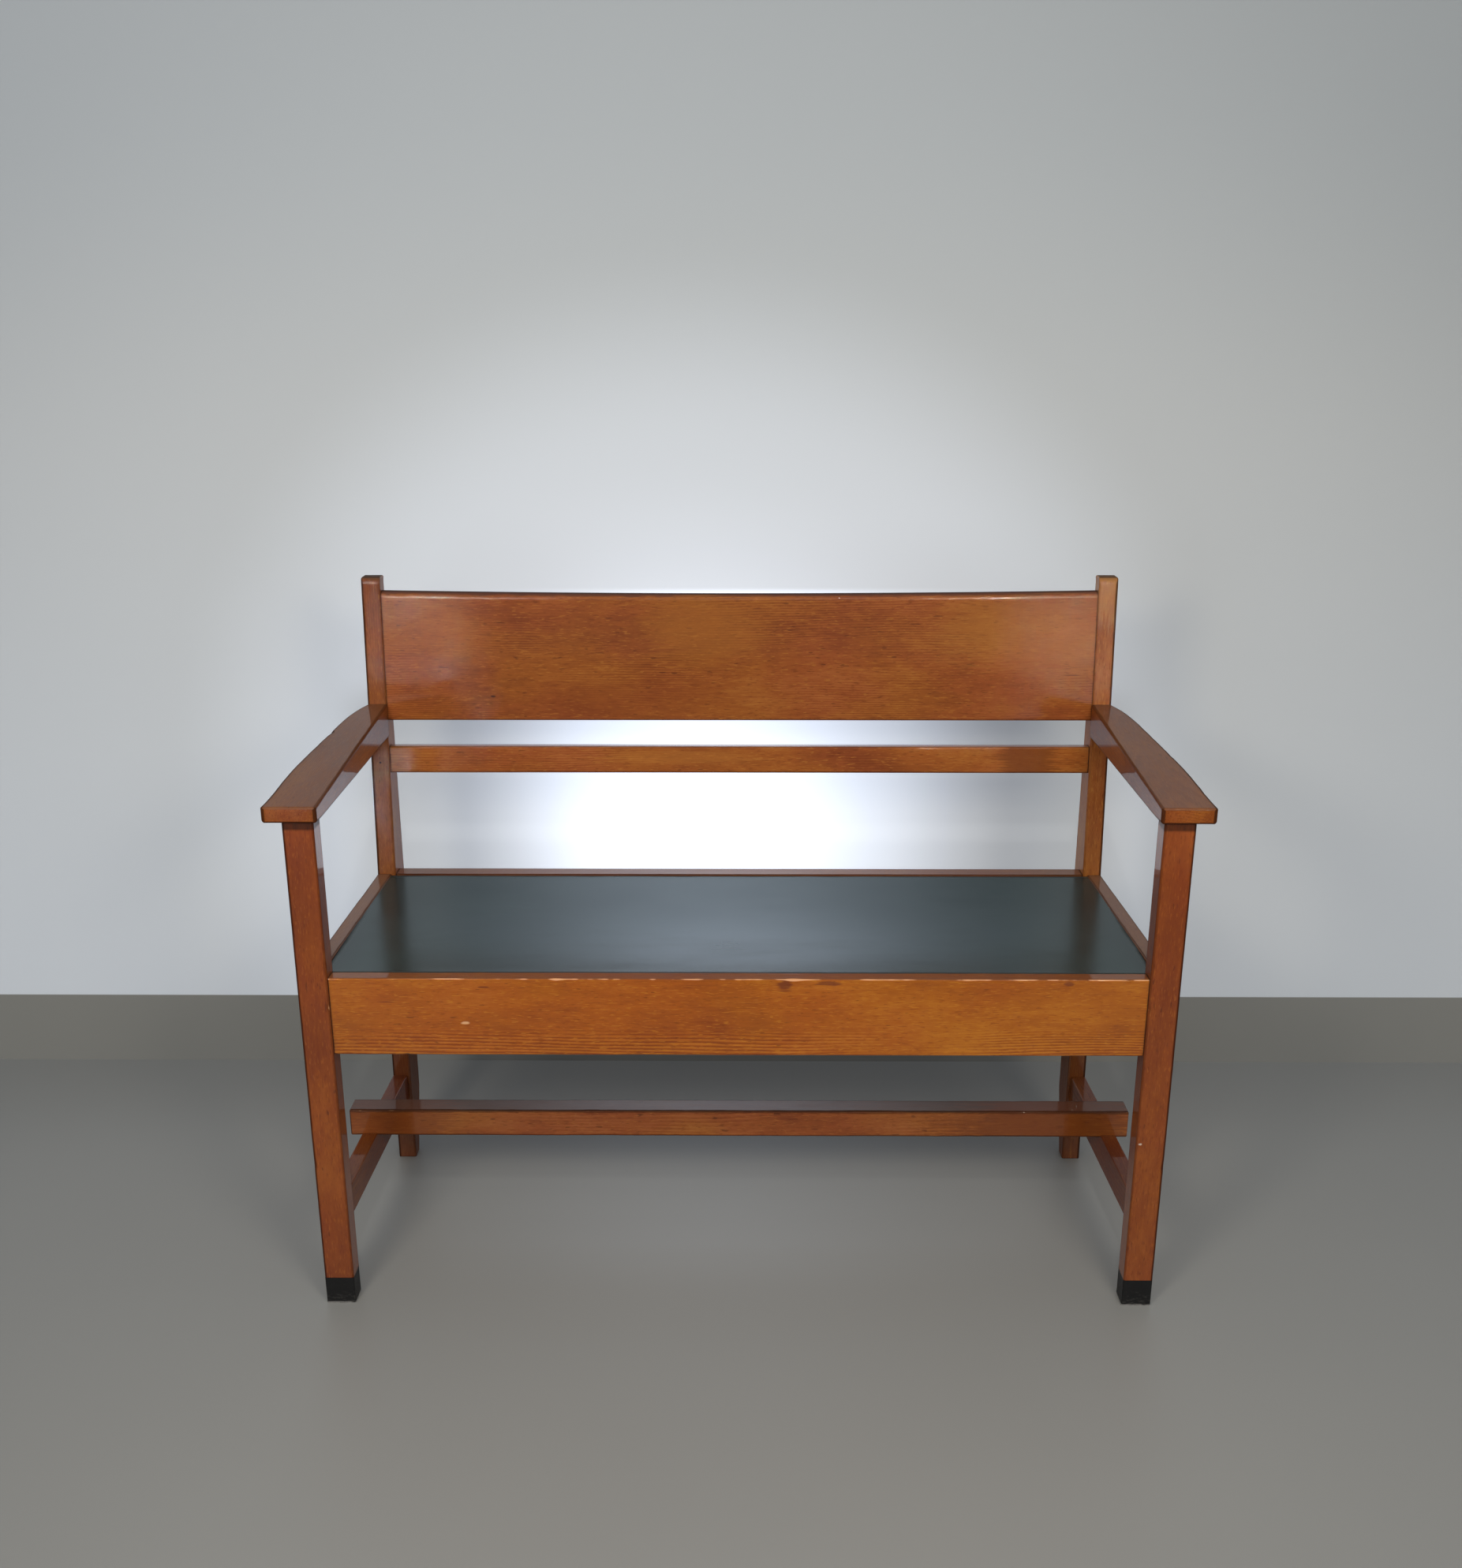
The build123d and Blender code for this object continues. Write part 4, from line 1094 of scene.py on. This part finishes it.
@dataclass
class Back:
    """The wide back board and the narrow rail below it, both parallel to the raked posts."""

    # Shares of the rise, from the top down: above the board, the board, the gap, the rail
    shares: Four = (0.05225, 0.418, 0.0887, 0.0899)
    board_setback: float = 2.0 * MM
    board_thickness: float = 18.0 * MM
    rail_setback: float = 3.0 * MM
    rail_thickness: float = 16.0 * MM
    board_hollow: float = 4.0 * MM
    slope: float = math.atan2(RAKE_LEAN, RAKE_RISE)

    def raked(self, points: np.ndarray) -> np.ndarray:
        """Turns (x, depth, up) into the raked plane of the posts' fronts.

        Args:
            points: places in the plane, depth from its front and up from the seat.

        Returns:
            The places in the shared frame.
        """
        front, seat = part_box("rear_post_right")[0].y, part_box("rear_seat_rail")[1].z
        deep, up = points[..., 1], points[..., 2]
        y = front + up * math.sin(self.slope) + deep * math.cos(self.slope)
        z = seat + up * math.cos(self.slope) - deep * math.sin(self.slope)
        return np.stack([points[..., 0], y, z], -1)

    def board(self, name: str, node: str, levels: Pair, depths: Pair, oak: Oak, hollow: float = 0.0,
              **sizes) -> None:
        """One board between the posts.

        Args:
            name: the piece's name.
            node: the CAD node that it replaces.
            levels: its lower and upper edge, above the seat.
            depths: its front and rear face, behind the posts' fronts.
            oak: its finish.
            hollow: how much lower its upper edge is in the middle.
            **sizes: the bar's other sizes.
        """
        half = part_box("rear_post_right")[0].x
        along = stations(-half, half, pitch=3 * MM)
        low, high = (level / math.cos(self.slope) for level in levels)
        high = high + hollow * ((along / half) ** 2 - 0.2)
        bar = Bar(name, Run.ACROSS, along, (depths[0], low), (depths[1], high), **sizes)
        place_bar(bar, oak, stands_for=node, bend=self.raked)

    def build(self) -> None:
        """Builds the board and the rail."""
        drop, board, gap, rail = (share * RAKE_RISE for share in self.shares)
        top = RAKE_RISE - drop
        self.board(
            "back_board", "back_panel", (top - board, top),
            (self.board_setback, self.board_setback + self.board_thickness),
            Oak("oak_back_board", Run.ACROSS, (0.27, 0.93), 1.4, patch_show=0.8, coat=2.0, varnish=0.38,
                nose_varnish=0.75, top_shade_sheen_patina_show=0.85, top_shade_sheen_patina_from=(0.4, 0.75), top_shade_sheen_patina=(0.085, 0.028, 0.018), crest_shade=0.9,
                deep=(0.165, 0.037, 0.005), middle=(0.292, 0.083, 0.011), pale=(0.4, 0.146, 0.023),
                marks=(
                    Mark((0.4, 0.178, 0.785), (0.16, 0.2, 0.07), (0.42, 0.17, 0.03), 0.3),
                    Mark((-0.05, 0.178, 0.79), (0.1, 0.2, 0.06), (0.36, 0.125, 0.016), 0.4),
                    Mark((-0.15, 0.178, 0.7), (0.2, 0.2, 0.03), (0.24, 0.056, 0.008), 0.4),
                    Mark((0.449, 0.1705, 0.7288), (0.016, 0.02, 0.0009), (0.06, 0.015, 0.006), 0.75),
                    Mark((-0.3334, 0.1684, 0.6992), (0.004, 0.02, 0.0018), (0.03, 0.008, 0.004), 0.85))),
            self.board_hollow, rounds=(1.5 * MM, 1.5 * MM, 6 * MM, 8.6 * MM), rub=(0.4, 0.4, 0.05, 0.05),
            grime=(0.75, 0.75), seed=41, outline=(0.5, 0.5, 0.6, 0.0),
        )
        low_top = top - board - gap
        self.board(
            "back_rail", "lower_back_rail", (low_top - rail, low_top),
            (self.rail_setback, self.rail_setback + self.rail_thickness),
            Oak("oak_back_rail", Run.ACROSS, (0.22, 0.7), 6.6, marks=(
                # Painted shadow on the right part of the rail
                Mark((0.395, 0.162, 0.61), (0.05, 0.1, 0.06), (0.17, 0.045, 0.008), 0.75),
                Mark((-0.08, 0.162, 0.615), (0.14, 0.1, 0.012), (0.46, 0.17, 0.03), 0.4))),
            rounds=(2 * MM,) * 4, rub=(0.4, 0.4, 0.4, 0.6), grime=(1.0, 1.0), seed=42,
            outline=(0.5, 0.5, 0.6, 0.3),
        )


@dataclass
class SeatFrame:
    """The four rails round the seat."""

    round: float = 2.0 * MM
    front_top_round: float = 1.1 * MM
    side_round: float = 1.5 * MM
    side_thickness: float = 19.5 * MM
    side_setback: float = 6.0 * MM
    front_nicks: tuple[Nick, ...] = (
        Nick(0, -0.3959, 0.0022, 2.4 * MM), Nick(3, -0.2155, 0.006, 1.8 * MM),
        Nick(3, 0.0655, 0.009, 2.2 * MM), Nick(3, 0.27, 0.012, 1.4 * MM),
        Nick(3, -0.42, 0.005, 1.2 * MM), Nick(3, -0.1, 0.004, 1.0 * MM))

    def cross_rail(self, name: str, node: str, half: float, oak: Oak, rounds: Four, **sizes) -> None:
        """A straight rail from side to side, as deep and high as its CAD node.

        Args:
            name: the piece's name.
            node: the CAD node that it replaces.
            half: how far it reaches to each side.
            oak: its finish.
            rounds: radius of each arris.
            **sizes: the bar's other sizes.
        """
        along = stations(-half, half, pitch=3 * MM)
        low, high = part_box(node)
        sides = (low.y, low.z), (high.y, high.z)
        bar = Bar(name, Run.ACROSS, along, *sides, rounds, grime=(1.0, 1.0), **sizes)
        place_bar(bar, oak, stands_for=node)

    def side_rail(self, side: str) -> None:
        """A side rail, set in at the leg and level with the outside of the post.

        Args:
            side: "left" or "right".
        """
        low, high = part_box("side_seat_rail_right")
        leg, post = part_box("front_leg_right")[1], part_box("rear_post_right")
        along = stations(leg.y, post[0].y)
        share = (along - leg.y) / (post[0].y - leg.y)
        outer = leg.x - self.side_setback
        outer = outer + (post[1].x - outer) * share
        left = side == "left"
        bar = Bar(
            f"rail_side_{side}", Run.BACK, along, (outer - self.side_thickness, low.z), (outer, high.z),
            (self.side_round,) * 4, grime=(0.8, 0.8), seed=51 if left else 52,
        )
        oak = Oak(f"oak_side_rail_{side}", Run.BACK, (0.4, 0.2), 8.8 if left else 2.9, top_shade_sheen_patina_show=0.7,
                  top_shade_sheen_patina=(0.16, 0.09, 0.055), varnish=0.8)
        place_bar(bar, oak, stands_for=f"side_seat_rail_{side}", mirror=left)

    def build(self) -> None:
        """Builds the rails."""
        self.cross_rail(
            "rail_front", "front_seat_rail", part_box("front_leg_right")[0].x,
            Oak("oak_front_rail", Run.ACROSS, (-0.14, 0.44), 3.9, ring=3.3 * MM, ring_show=0.2,
                ring_from=(0.075, 0.09), ring_where=(0.3, 0.5), patch_show=0.7, top_shade_sheen_patina_show=0.6,
                # A pale line along the top arris: worn wood with a painted highlight on it
                bare_and_glint_show=0.85, bare_and_glint=(0.74, 0.38, 0.19),
                deep=(0.21, 0.046, 0.002), middle=(0.355, 0.1, 0.003), pale=(0.48, 0.175, 0.01),
                marks=(
                    Mark((0.0553, -0.1935, 0.4405), (0.011, 0.02, 0.009), (0.11, 0.018, 0.007), 0.7),
                    Mark((0.107, -0.1935, 0.4435), (0.017, 0.02, 0.0035), (0.13, 0.026, 0.007), 0.7),
                    Mark((0.389, -0.1935, 0.4435), (0.009, 0.02, 0.004), (0.13, 0.026, 0.008), 0.7),
                    Mark((-0.4167, -0.1935, 0.418), (0.015, 0.01, 0.0013), (0.16, 0.03, 0.005), 0.7),
                    Mark((-0.301, -0.1935, 0.4375), (0.008, 0.01, 0.0014), (0.13, 0.025, 0.005), 0.7),
                    Mark((-0.324, -0.1935, 0.391), (0.006, 0.01, 0.0022), (0.72, 0.42, 0.2), 0.8))),
            (self.round, self.round, self.round, self.front_top_round),
            rub=(0.7, 0.5, 0.8, 1.9), nicks=self.front_nicks, outline=(0.3, 0.4, 0.5, 0.0), seed=61,
        )
        self.cross_rail(
            "rail_rear", "rear_seat_rail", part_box("rear_post_right")[0].x,
            Oak("oak_rear_rail", Run.ACROSS, (0.1, 0.5), 5.1, top_shade_sheen_patina_show=0.6, top_shade_sheen_patina=(0.13, 0.065, 0.04)),
            (self.round,) * 4, rub=(0.5, 0.5, 0.3, 0.3), outline=(0.5, 0.5, 0.6, 0.7), seed=62,
        )
        self.side_rail("left")
        self.side_rail("right")


@dataclass
class Stretchers:
    """The long stretcher that lies across the two side ones."""

    round: float = 2.0 * MM

    def build(self) -> None:
        """Builds the long stretcher and dresses the side ones."""
        low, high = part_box("long_stretcher")
        rounds = (self.round,) * 4
        bar = Bar(
            "stretcher_long", Run.ACROSS, stations(low.x, high.x, self.round, self.round),
            (low.y, low.z), (high.y, high.z), rounds, rub=(0.8, 0.6, 0.9, 1.1),
            start_rounds=rounds, end_rounds=rounds, seed=71,
        )
        oak = Oak(
            "oak_long_stretcher", Run.ACROSS, (0.05, 0.2), 9.7, top_shade_sheen_patina_show=0.85, top_shade_sheen_patina=(0.05, 0.028, 0.018),
            deep=(0.15, 0.035, 0.006), middle=(0.28, 0.08, 0.012), pale=(0.38, 0.14, 0.026), varnish=0.75,
            # Both marks are painted shadows on the stretcher's front near its ends
            marks=(Mark((0.42, -0.02, 0.15), (0.14, 0.2, 0.06), (0.16, 0.038, 0.006), 0.7),
                   Mark((-0.46, -0.02, 0.15), (0.1, 0.2, 0.06), (0.17, 0.042, 0.008), 0.5)),
        )
        place_bar(bar, oak, stands_for="long_stretcher")
        for side, seed in (("left", 1.9), ("right", 6.2)):
            oak = Oak(f"oak_side_stretcher_{side}", Run.BACK, (0.4, 0.16), seed, deep=(0.1, 0.02, 0.004),
                      middle=(0.165, 0.04, 0.006), pale=(0.24, 0.075, 0.013), varnish=0.45)
            dress(f"side_stretcher_{side}", oak.material())


def dress(node: str, material: bpy.types.Material) -> None:
    """Gives a CAD node its material.

    Args:
        node: the node's name.
        material: what it is dressed in.
    """
    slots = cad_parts[node].data.materials
    slots.clear()
    slots.append(material)


@dataclass
class Seat:
    """The covered drop-in panel, which has sunk a little in the middle."""

    sag: float = 2.0 * MM
    edge_round: float = 1.2 * MM
    under_round: float = 0.3 * MM
    # Reach of the dirt and painted shade along the edges
    edge_dirt_and_shade: float = 5 * MM

    def build(self) -> None:
        """Builds the cover: level at its edges, lower inside them, with dirt and painted shade along them."""
        low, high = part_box("seat_cover")
        ends = (self.edge_round, self.edge_round, 0, self.edge_round)
        along = stations(low.x, high.x, self.edge_round, self.edge_round, 8 * MM)
        bar = Bar(
            "seat_cover_dished", Run.ACROSS, along, (low.y, low.z), (high.y, high.z),
            (self.under_round, self.under_round, self.edge_round, self.edge_round),
            rub=(0.0,) * 4, end_rounds=ends, start_rounds=ends, wave=0.12 * MM, seed=81, face_pitch=8 * MM,
        )

        def dish(points: np.ndarray) -> np.ndarray:
            """Lowers the top by the sag times 1 - x^4 and 1 - y^2, both as shares of the half sizes.

            Args:
                points: the cover's points, with a flat top.

            Returns:
                The lowered points.
            """
            across = 2 * (points[..., 0] - low.x) / (high.x - low.x) - 1
            deep = 2 * (points[..., 1] - low.y) / (high.y - low.y) - 1
            upper = (points[..., 2] - low.z) / (high.z - low.z)
            sunk = points.copy()
            sunk[..., 2] -= self.sag * (1 - across**4).clip(0) * (1 - deep**2).clip(0) * upper
            return sunk

        place_bar(bar, SeatCover(), stands_for="seat_cover", body="seat", bend=dish)
        self.soil_and_shade(bar.name, low, high)

    def soil_and_shade(self, name: str, low: Vector, high: Vector) -> None:
        """Dirt and painted shade along the cover's edges: e to the power of minus the distance over its
        reach.

        Args:
            name: the cover's object.
            low: lower corner of the cover.
            high: upper corner of the cover.
        """
        mesh = bpy.data.objects[name].data
        place = np.empty(len(mesh.vertices) * 3, np.float32)
        mesh.vertices.foreach_get("co", place)
        x, y = place.reshape(-1, 3).T[:2]
        # The dirt and painted shade reach half as far in from the front edge, and a little further from the
        # rear one
        gap = np.minimum.reduce([x - low.x, high.x - x, 2 * (y - low.y), 0.7 * (high.y - y)])
        mesh.attributes["grime"].data.foreach_set("value", np.exp(-gap / self.edge_dirt_and_shade) * 0.8)


@dataclass
class Hidden:
    """The seat's board, the black feet and what lies under the seat, which keep their CAD meshes."""

    softwood: tuple[str, ...] = ("seat_ledger", "corner_block", "seat_board", "arm_dowel")

    def build(self) -> None:
        """Dresses each node by its name."""
        soft, steel, black = Softwood().material(), Steel().material(), Black().material()
        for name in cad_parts:
            if name.startswith(self.softwood):
                dress(name, soft)
            elif "screw" in name:
                dress(name, steel)
            elif name.startswith("foot_sleeve"):
                dress(name, black)


@dataclass(frozen=True)
class Lamp:
    """An area lamp: its name, where it hangs and shines at, its power, colour and two sizes."""

    name: str
    at: Place
    aim: Place
    power: float
    colour: Colour
    size: Pair


@dataclass
class Studio:
    """A pale floor, a plain wall with a painted pool of light that shows from the front only, and soft
    lights.
    """

    wall_y: float = 0.449
    skirting: float = 0.1205
    pool_centre: Pair = (-0.06, 0.45)
    pool_reach: float = 0.285
    halo_reach: float = 0.72
    stage_reach: float = 9.0
    wall_height: float = 5.0
    card_y: float = -2.88
    floor_colour: Colour = (0.296, 0.3, 0.293)
    skirting_colour: Colour = (0.28, 0.282, 0.268)
    wall_colour: Colour = (0.558, 0.59, 0.61)
    # Painted shade: how much darker the wall is high up
    painted_high_shade: Colour = (0.875, 0.9, 0.925)
    light_colour: Four = (0.84, 0.93, 1.1, 1)
    # Strengths of the soft shapes of painted light and shade on the wall, then of all of them together
    core_light: float = 0.9
    band_light: float = 2.8
    halo_light: float = 0.135
    halo_shade: float = 0.13
    wash_light: float = 0.01
    lean_light: float = 0.05
    low_light: float = 0.1
    all_light: float = 1.1
    room_high: Colour = (0.252, 0.268, 0.284)
    room_low: Colour = (0.116, 0.123, 0.134)

    def plane(self, name: str, corners: list[Place], material: bpy.types.Material) -> bpy.types.Object:
        """A flat stage piece.

        Args:
            name: the piece's name.
            corners: its outline.
            material: what it is dressed in.

        Returns:
            The new object.
        """
        mesh = bpy.data.meshes.new(name)
        mesh.from_pydata(corners, [], [tuple(range(len(corners)))])
        mesh.materials.append(material)
        piece = bpy.data.objects.new(name, mesh)
        bpy.context.scene.collection.objects.link(piece)
        return piece

    def clear_behind(self, shader: Shader, front: Sock) -> None:
        """Closes a stage material that shows from its front only.

        Args:
            shader: the material.
            front: the surface on its front.
        """
        clear = shader.node("ShaderNodeBsdfTransparent")
        behind = shader.node("ShaderNodeNewGeometry", None, "Backfacing")
        shader.output(shader.node("ShaderNodeMixShader", {0: behind, 1: front, 2: clear}))

    def floor(self) -> None:
        """The floor, painted darker towards the camera as shade, clear from below so that the underside can
        be seen.
        """
        shader = Shader("studio_floor")
        place = shader.place()
        cloud = shader.noise(place, (1.2, 1.2, 1.2), 3)
        patch, far = (tuple(c * share for c in self.floor_colour) for share in (0.96, 0.45))
        colour = shader.mix(cloud.over(0.3, 0.7), patch, self.floor_colour)
        # Painted shade: the floor darker towards the camera
        colour = shader.mix(shader.part(place, "Y").over(-1.7, -0.75), far, colour)
        inputs = {"Base Color": colour, "Roughness": 0.42, "Specular IOR Level": 0.5}
        self.clear_behind(shader, shader.node("ShaderNodeBsdfPrincipled", inputs))
        reach = self.stage_reach
        corners = [(-reach, -reach, 0), (reach, -reach, 0), (reach, reach, 0), (-reach, reach, 0)]
        self.plane("studio_floor", corners, shader.material)

    def glow(self, shader: Shader, place: Sock) -> Sock:
        """How strongly the wall's painted light shines, as a sum of soft shapes of emission.

        The core of the painted pool is e to the power of minus the square of the distance from its centre
        over its reach. A band at the level of the back board is e to the power of minus the square
        of four times x. A halo round both ends in a soft step and is weaker behind the left and
        right of the seat, where it paints the back's shadow. To these come a wide wash, a lean to the left
        and a rise near the floor.

        Args:
            shader: the wall's material.
            place: the object's own coordinates.

        Returns:
            The strength of the light.
        """
        level = shader.part(place, "Z")
        sideways = shader.part(place, "X") * 4.0
        outward = sideways.math("ABSOLUTE")
        away = shader.distance(place, (self.pool_centre[0], self.wall_y, self.pool_centre[1]))
        core = (away / self.pool_reach * (away / self.pool_reach) * -1.0).math("EXPONENT")
        band = level.over(0.645, 0.72) * (1 - level.over(0.76, 0.8))
        upper = (sideways * sideways * -1.0).math("EXPONENT") * band
        shade = outward.over(0.9, 1.7) * (1 - outward.over(2.2, 2.6))
        shade = shade * level.over(0.15, 0.3) * (1 - level.over(0.6, 0.66))
        halo = 1 - away.over(self.halo_reach - 0.16, self.halo_reach + 0.14)
        glow = core * self.core_light + upper * self.band_light
        glow = glow + halo * (self.halo_light - shade * self.halo_shade)
        glow = glow + (1 - away.over(0.3, 1.9)) * self.wash_light
        glow = glow + (1 - sideways.over(-5, 5)) * self.lean_light
        glow = glow + (1 - level.over(0.1, 1.3)) * self.low_light
        return glow * self.all_light

    def wall(self) -> None:
        """The wall and its skirting, clear from behind so that the back of the settle can be seen."""
        shader = Shader("studio_wall")
        place = shader.place()
        level = shader.part(place, "Z")
        above = level.over(self.skirting - 2 * MM, self.skirting)
        # Painted shade: the wall darker higher up
        high = tuple(c * tint for c, tint in zip(self.wall_colour, self.painted_high_shade))
        colour = shader.mix(level.over(0.95, 1.5), self.wall_colour, high)
        colour = shader.mix(above, self.skirting_colour, colour)
        paint = shader.node("ShaderNodeBsdfDiffuse", {"Color": colour})
        # Painted light: the pool, halo, band and wash are an emission of the wall itself, lit by no lamp
        glow = self.glow(shader, place) * above
        painted_light = shader.node("ShaderNodeEmission", {"Color": self.light_colour, "Strength": glow})
        self.clear_behind(shader, shader.node("ShaderNodeAddShader", {0: paint, 1: painted_light}))
        reach, y, top = self.stage_reach, self.wall_y, self.wall_height
        corners = [(-reach, y, 0), (reach, y, 0), (reach, y, top), (-reach, y, top)]
        wall = self.plane("studio_wall", corners, shader.material)
        wall.visible_shadow = False
        wall.visible_diffuse = False

    def room(self) -> None:
        """The light of the room: brighter above, dark low down behind the camera."""
        world = bpy.data.worlds.new("studio")
        world.use_nodes = True
        tree = world.node_tree
        place = tree.nodes.new("ShaderNodeTexCoord")
        part = tree.nodes.new("ShaderNodeSeparateXYZ")
        ramp = tree.nodes.new("ShaderNodeValToRGB")
        for stop, spot, colour in zip(ramp.color_ramp.elements, (0.05, 0.6), (self.room_low, self.room_high)):
            stop.position, stop.color = spot, (*colour, 1)
        tree.links.new(place.outputs["Generated"], part.inputs[0])
        tree.links.new(part.outputs["Z"], ramp.inputs[0])
        tree.links.new(ramp.outputs[0], tree.nodes["Background"].inputs["Color"])
        bpy.context.scene.world = world

    def hang(self, data: bpy.types.Light, at: Place, aim: Place, power: float, colour: Colour) -> None:
        """Hangs a light where it shines at a point, and hides it from the camera.

        Args:
            data: the light.
            at: where it hangs.
            aim: the point.
            power: its power in watts.
            colour: its colour.
        """
        data.energy, data.color = power, colour
        # Two ways of sampling at once leave a faint arc on the wall, so each lamp keeps to one.
        data.cycles.use_multiple_importance_sampling = False
        lamp = bpy.data.objects.new(data.name, data)
        lamp.location = at
        lamp.rotation_euler = (Vector(aim) - Vector(at)).to_track_quat("-Z", "Y").to_euler()
        lamp.visible_camera = False
        lamp.visible_glossy = data.type != "SPOT"
        bpy.context.scene.collection.objects.link(lamp)

    def lamps(self) -> list[Lamp]:
        """The area lamps: ceiling, then on each side a lamp, its core and a window, then a low one.

        Returns:
            The lamps in the order in which they are hung.
        """
        found = [Lamp("ceiling", (0, -2.3, 2.6), (0, -1.2, 0), 13.6, (1, 0.98, 0.95), (2.4, 1.2))]
        sides = ((-1, -0.78, -0.78, 0.5, 2.8), (1, 0.76, 0.62, 0.6, 2.2))
        for side, lamp_x, core_x, width, window_power in sides:
            aim, label = (0.1 * side, 0, 0.6), side + 1
            at, core_at = (lamp_x, -1.65, 1.42), (core_x, -1.66, 1.42)
            found.append(Lamp(f"lamp_{label}", at, aim, 7.2, (1, 0.92, 0.8), (width, 0.6)))
            found.append(Lamp(f"lamp_core_{label}", core_at, aim, 4.5, (1, 0.88, 0.72), (0.34, 0.3)))
            at, aim = (1.94 * side, -2.9, 0.7), (1.94 * side, 0, 0.7)
            # Four layers, each a little smaller, give the window's reflection a soft edge
            for layer in range(4):
                name, size = f"window_{label}_{layer}", 2.2 - 0.12 * layer
                found.append(Lamp(name, at, aim, window_power, (0.93, 0.96, 1), (size, size * 0.62)))
        at, aim = (-1.1, -2.15, 0.15), (-1.1, 0, 0.15)
        return [*found, Lamp("low_window", at, aim, 0.3, (0.95, 0.97, 1), (0.3, 0.3))]

    def build(self) -> None:
        """Builds the stage and hangs the lights."""
        self.floor()
        self.wall()
        self.room()
        bpy.context.scene.view_settings.view_transform = "Standard"
        spot = bpy.data.lights.new("spot_wide", "SPOT")
        spot.spot_size, spot.spot_blend, spot.shadow_soft_size = math.radians(60), 0.8, 0.04
        self.hang(spot, (0, -2.05, 2.6), (0, 0.1, 0.4), 30, (1, 0.97, 0.93))
        for lamp in self.lamps():
            area = bpy.data.lights.new(lamp.name, "AREA")
            area.shape = "RECTANGLE"
            area.size, area.size_y = lamp.size
            self.hang(area, lamp.at, lamp.aim, lamp.power, lamp.colour)
        # A dark card covers a low, inner part of each window and so shapes its reflection
        dark = Shader("studio_card")
        dark.finish({"Base Color": (0.01, 0.01, 0.01, 1), "Roughness": 0.9})
        left = ((-1.5, 0.41), (-0.952, 0.41), (-0.952, 0.34), (-0.993, 0.33), (-0.993, 0.21), (-1.5, 0.21))
        right = ((0.9, 0.0), (1.35, 0.0), (1.35, 0.22), (1.0, 0.22))
        for name, outline in (("left", left), ("right", right)):
            corners = [(x, self.card_y, z) for x, z in outline]
            card = self.plane(f"studio_card_{name}", corners, dark.material)
            card.visible_camera = False


@dataclass
class Viewpoint:
    """The camera, where the photograph's perspective puts it."""

    at: Place = (0.0042, -1.8045, 1.1978)
    focal: float = 1900.0
    frame_long: float = 1988.0
    pitch: float = math.radians(17.520)
    yaw: float = math.radians(-0.4355)
    roll: float = math.radians(-0.0635)

    def build(self) -> None:
        """Makes the camera: forward from yaw and pitch, then turned about it by the roll."""
        ahead = Vector((math.sin(self.yaw) * math.cos(self.pitch), math.cos(self.yaw) * math.cos(self.pitch),
                        -math.sin(self.pitch)))
        level = Vector((math.cos(self.yaw), -math.sin(self.yaw), 0))
        upright = level.cross(ahead)
        right = level * math.cos(self.roll) + upright * math.sin(self.roll)
        up = upright * math.cos(self.roll) - level * math.sin(self.roll)
        data = bpy.data.cameras.new("photo_view")
        data.sensor_width = 36.0
        data.lens = data.sensor_width * self.focal / self.frame_long
        camera = bpy.data.objects.new("photo_view", data)
        turn = Matrix((right, up, -ahead)).transposed().to_4x4()
        camera.matrix_world = Matrix.Translation(self.at) @ turn
        bpy.context.scene.collection.objects.link(camera)
        bpy.context.scene.camera = camera


def main() -> None:
    """Builds the sub-assemblies in order."""
    logging.basicConfig(level=logging.INFO, format="%(message)s")
    Viewpoint().build()
    Studio().build()
    for assembly in (Stand(), Arms(), Back(), SeatFrame(), Seat(), Stretchers(), Hidden()):
        assembly.build()
        log.info("%s done", type(assembly).__name__)


if __name__ == "__main__":
    main()
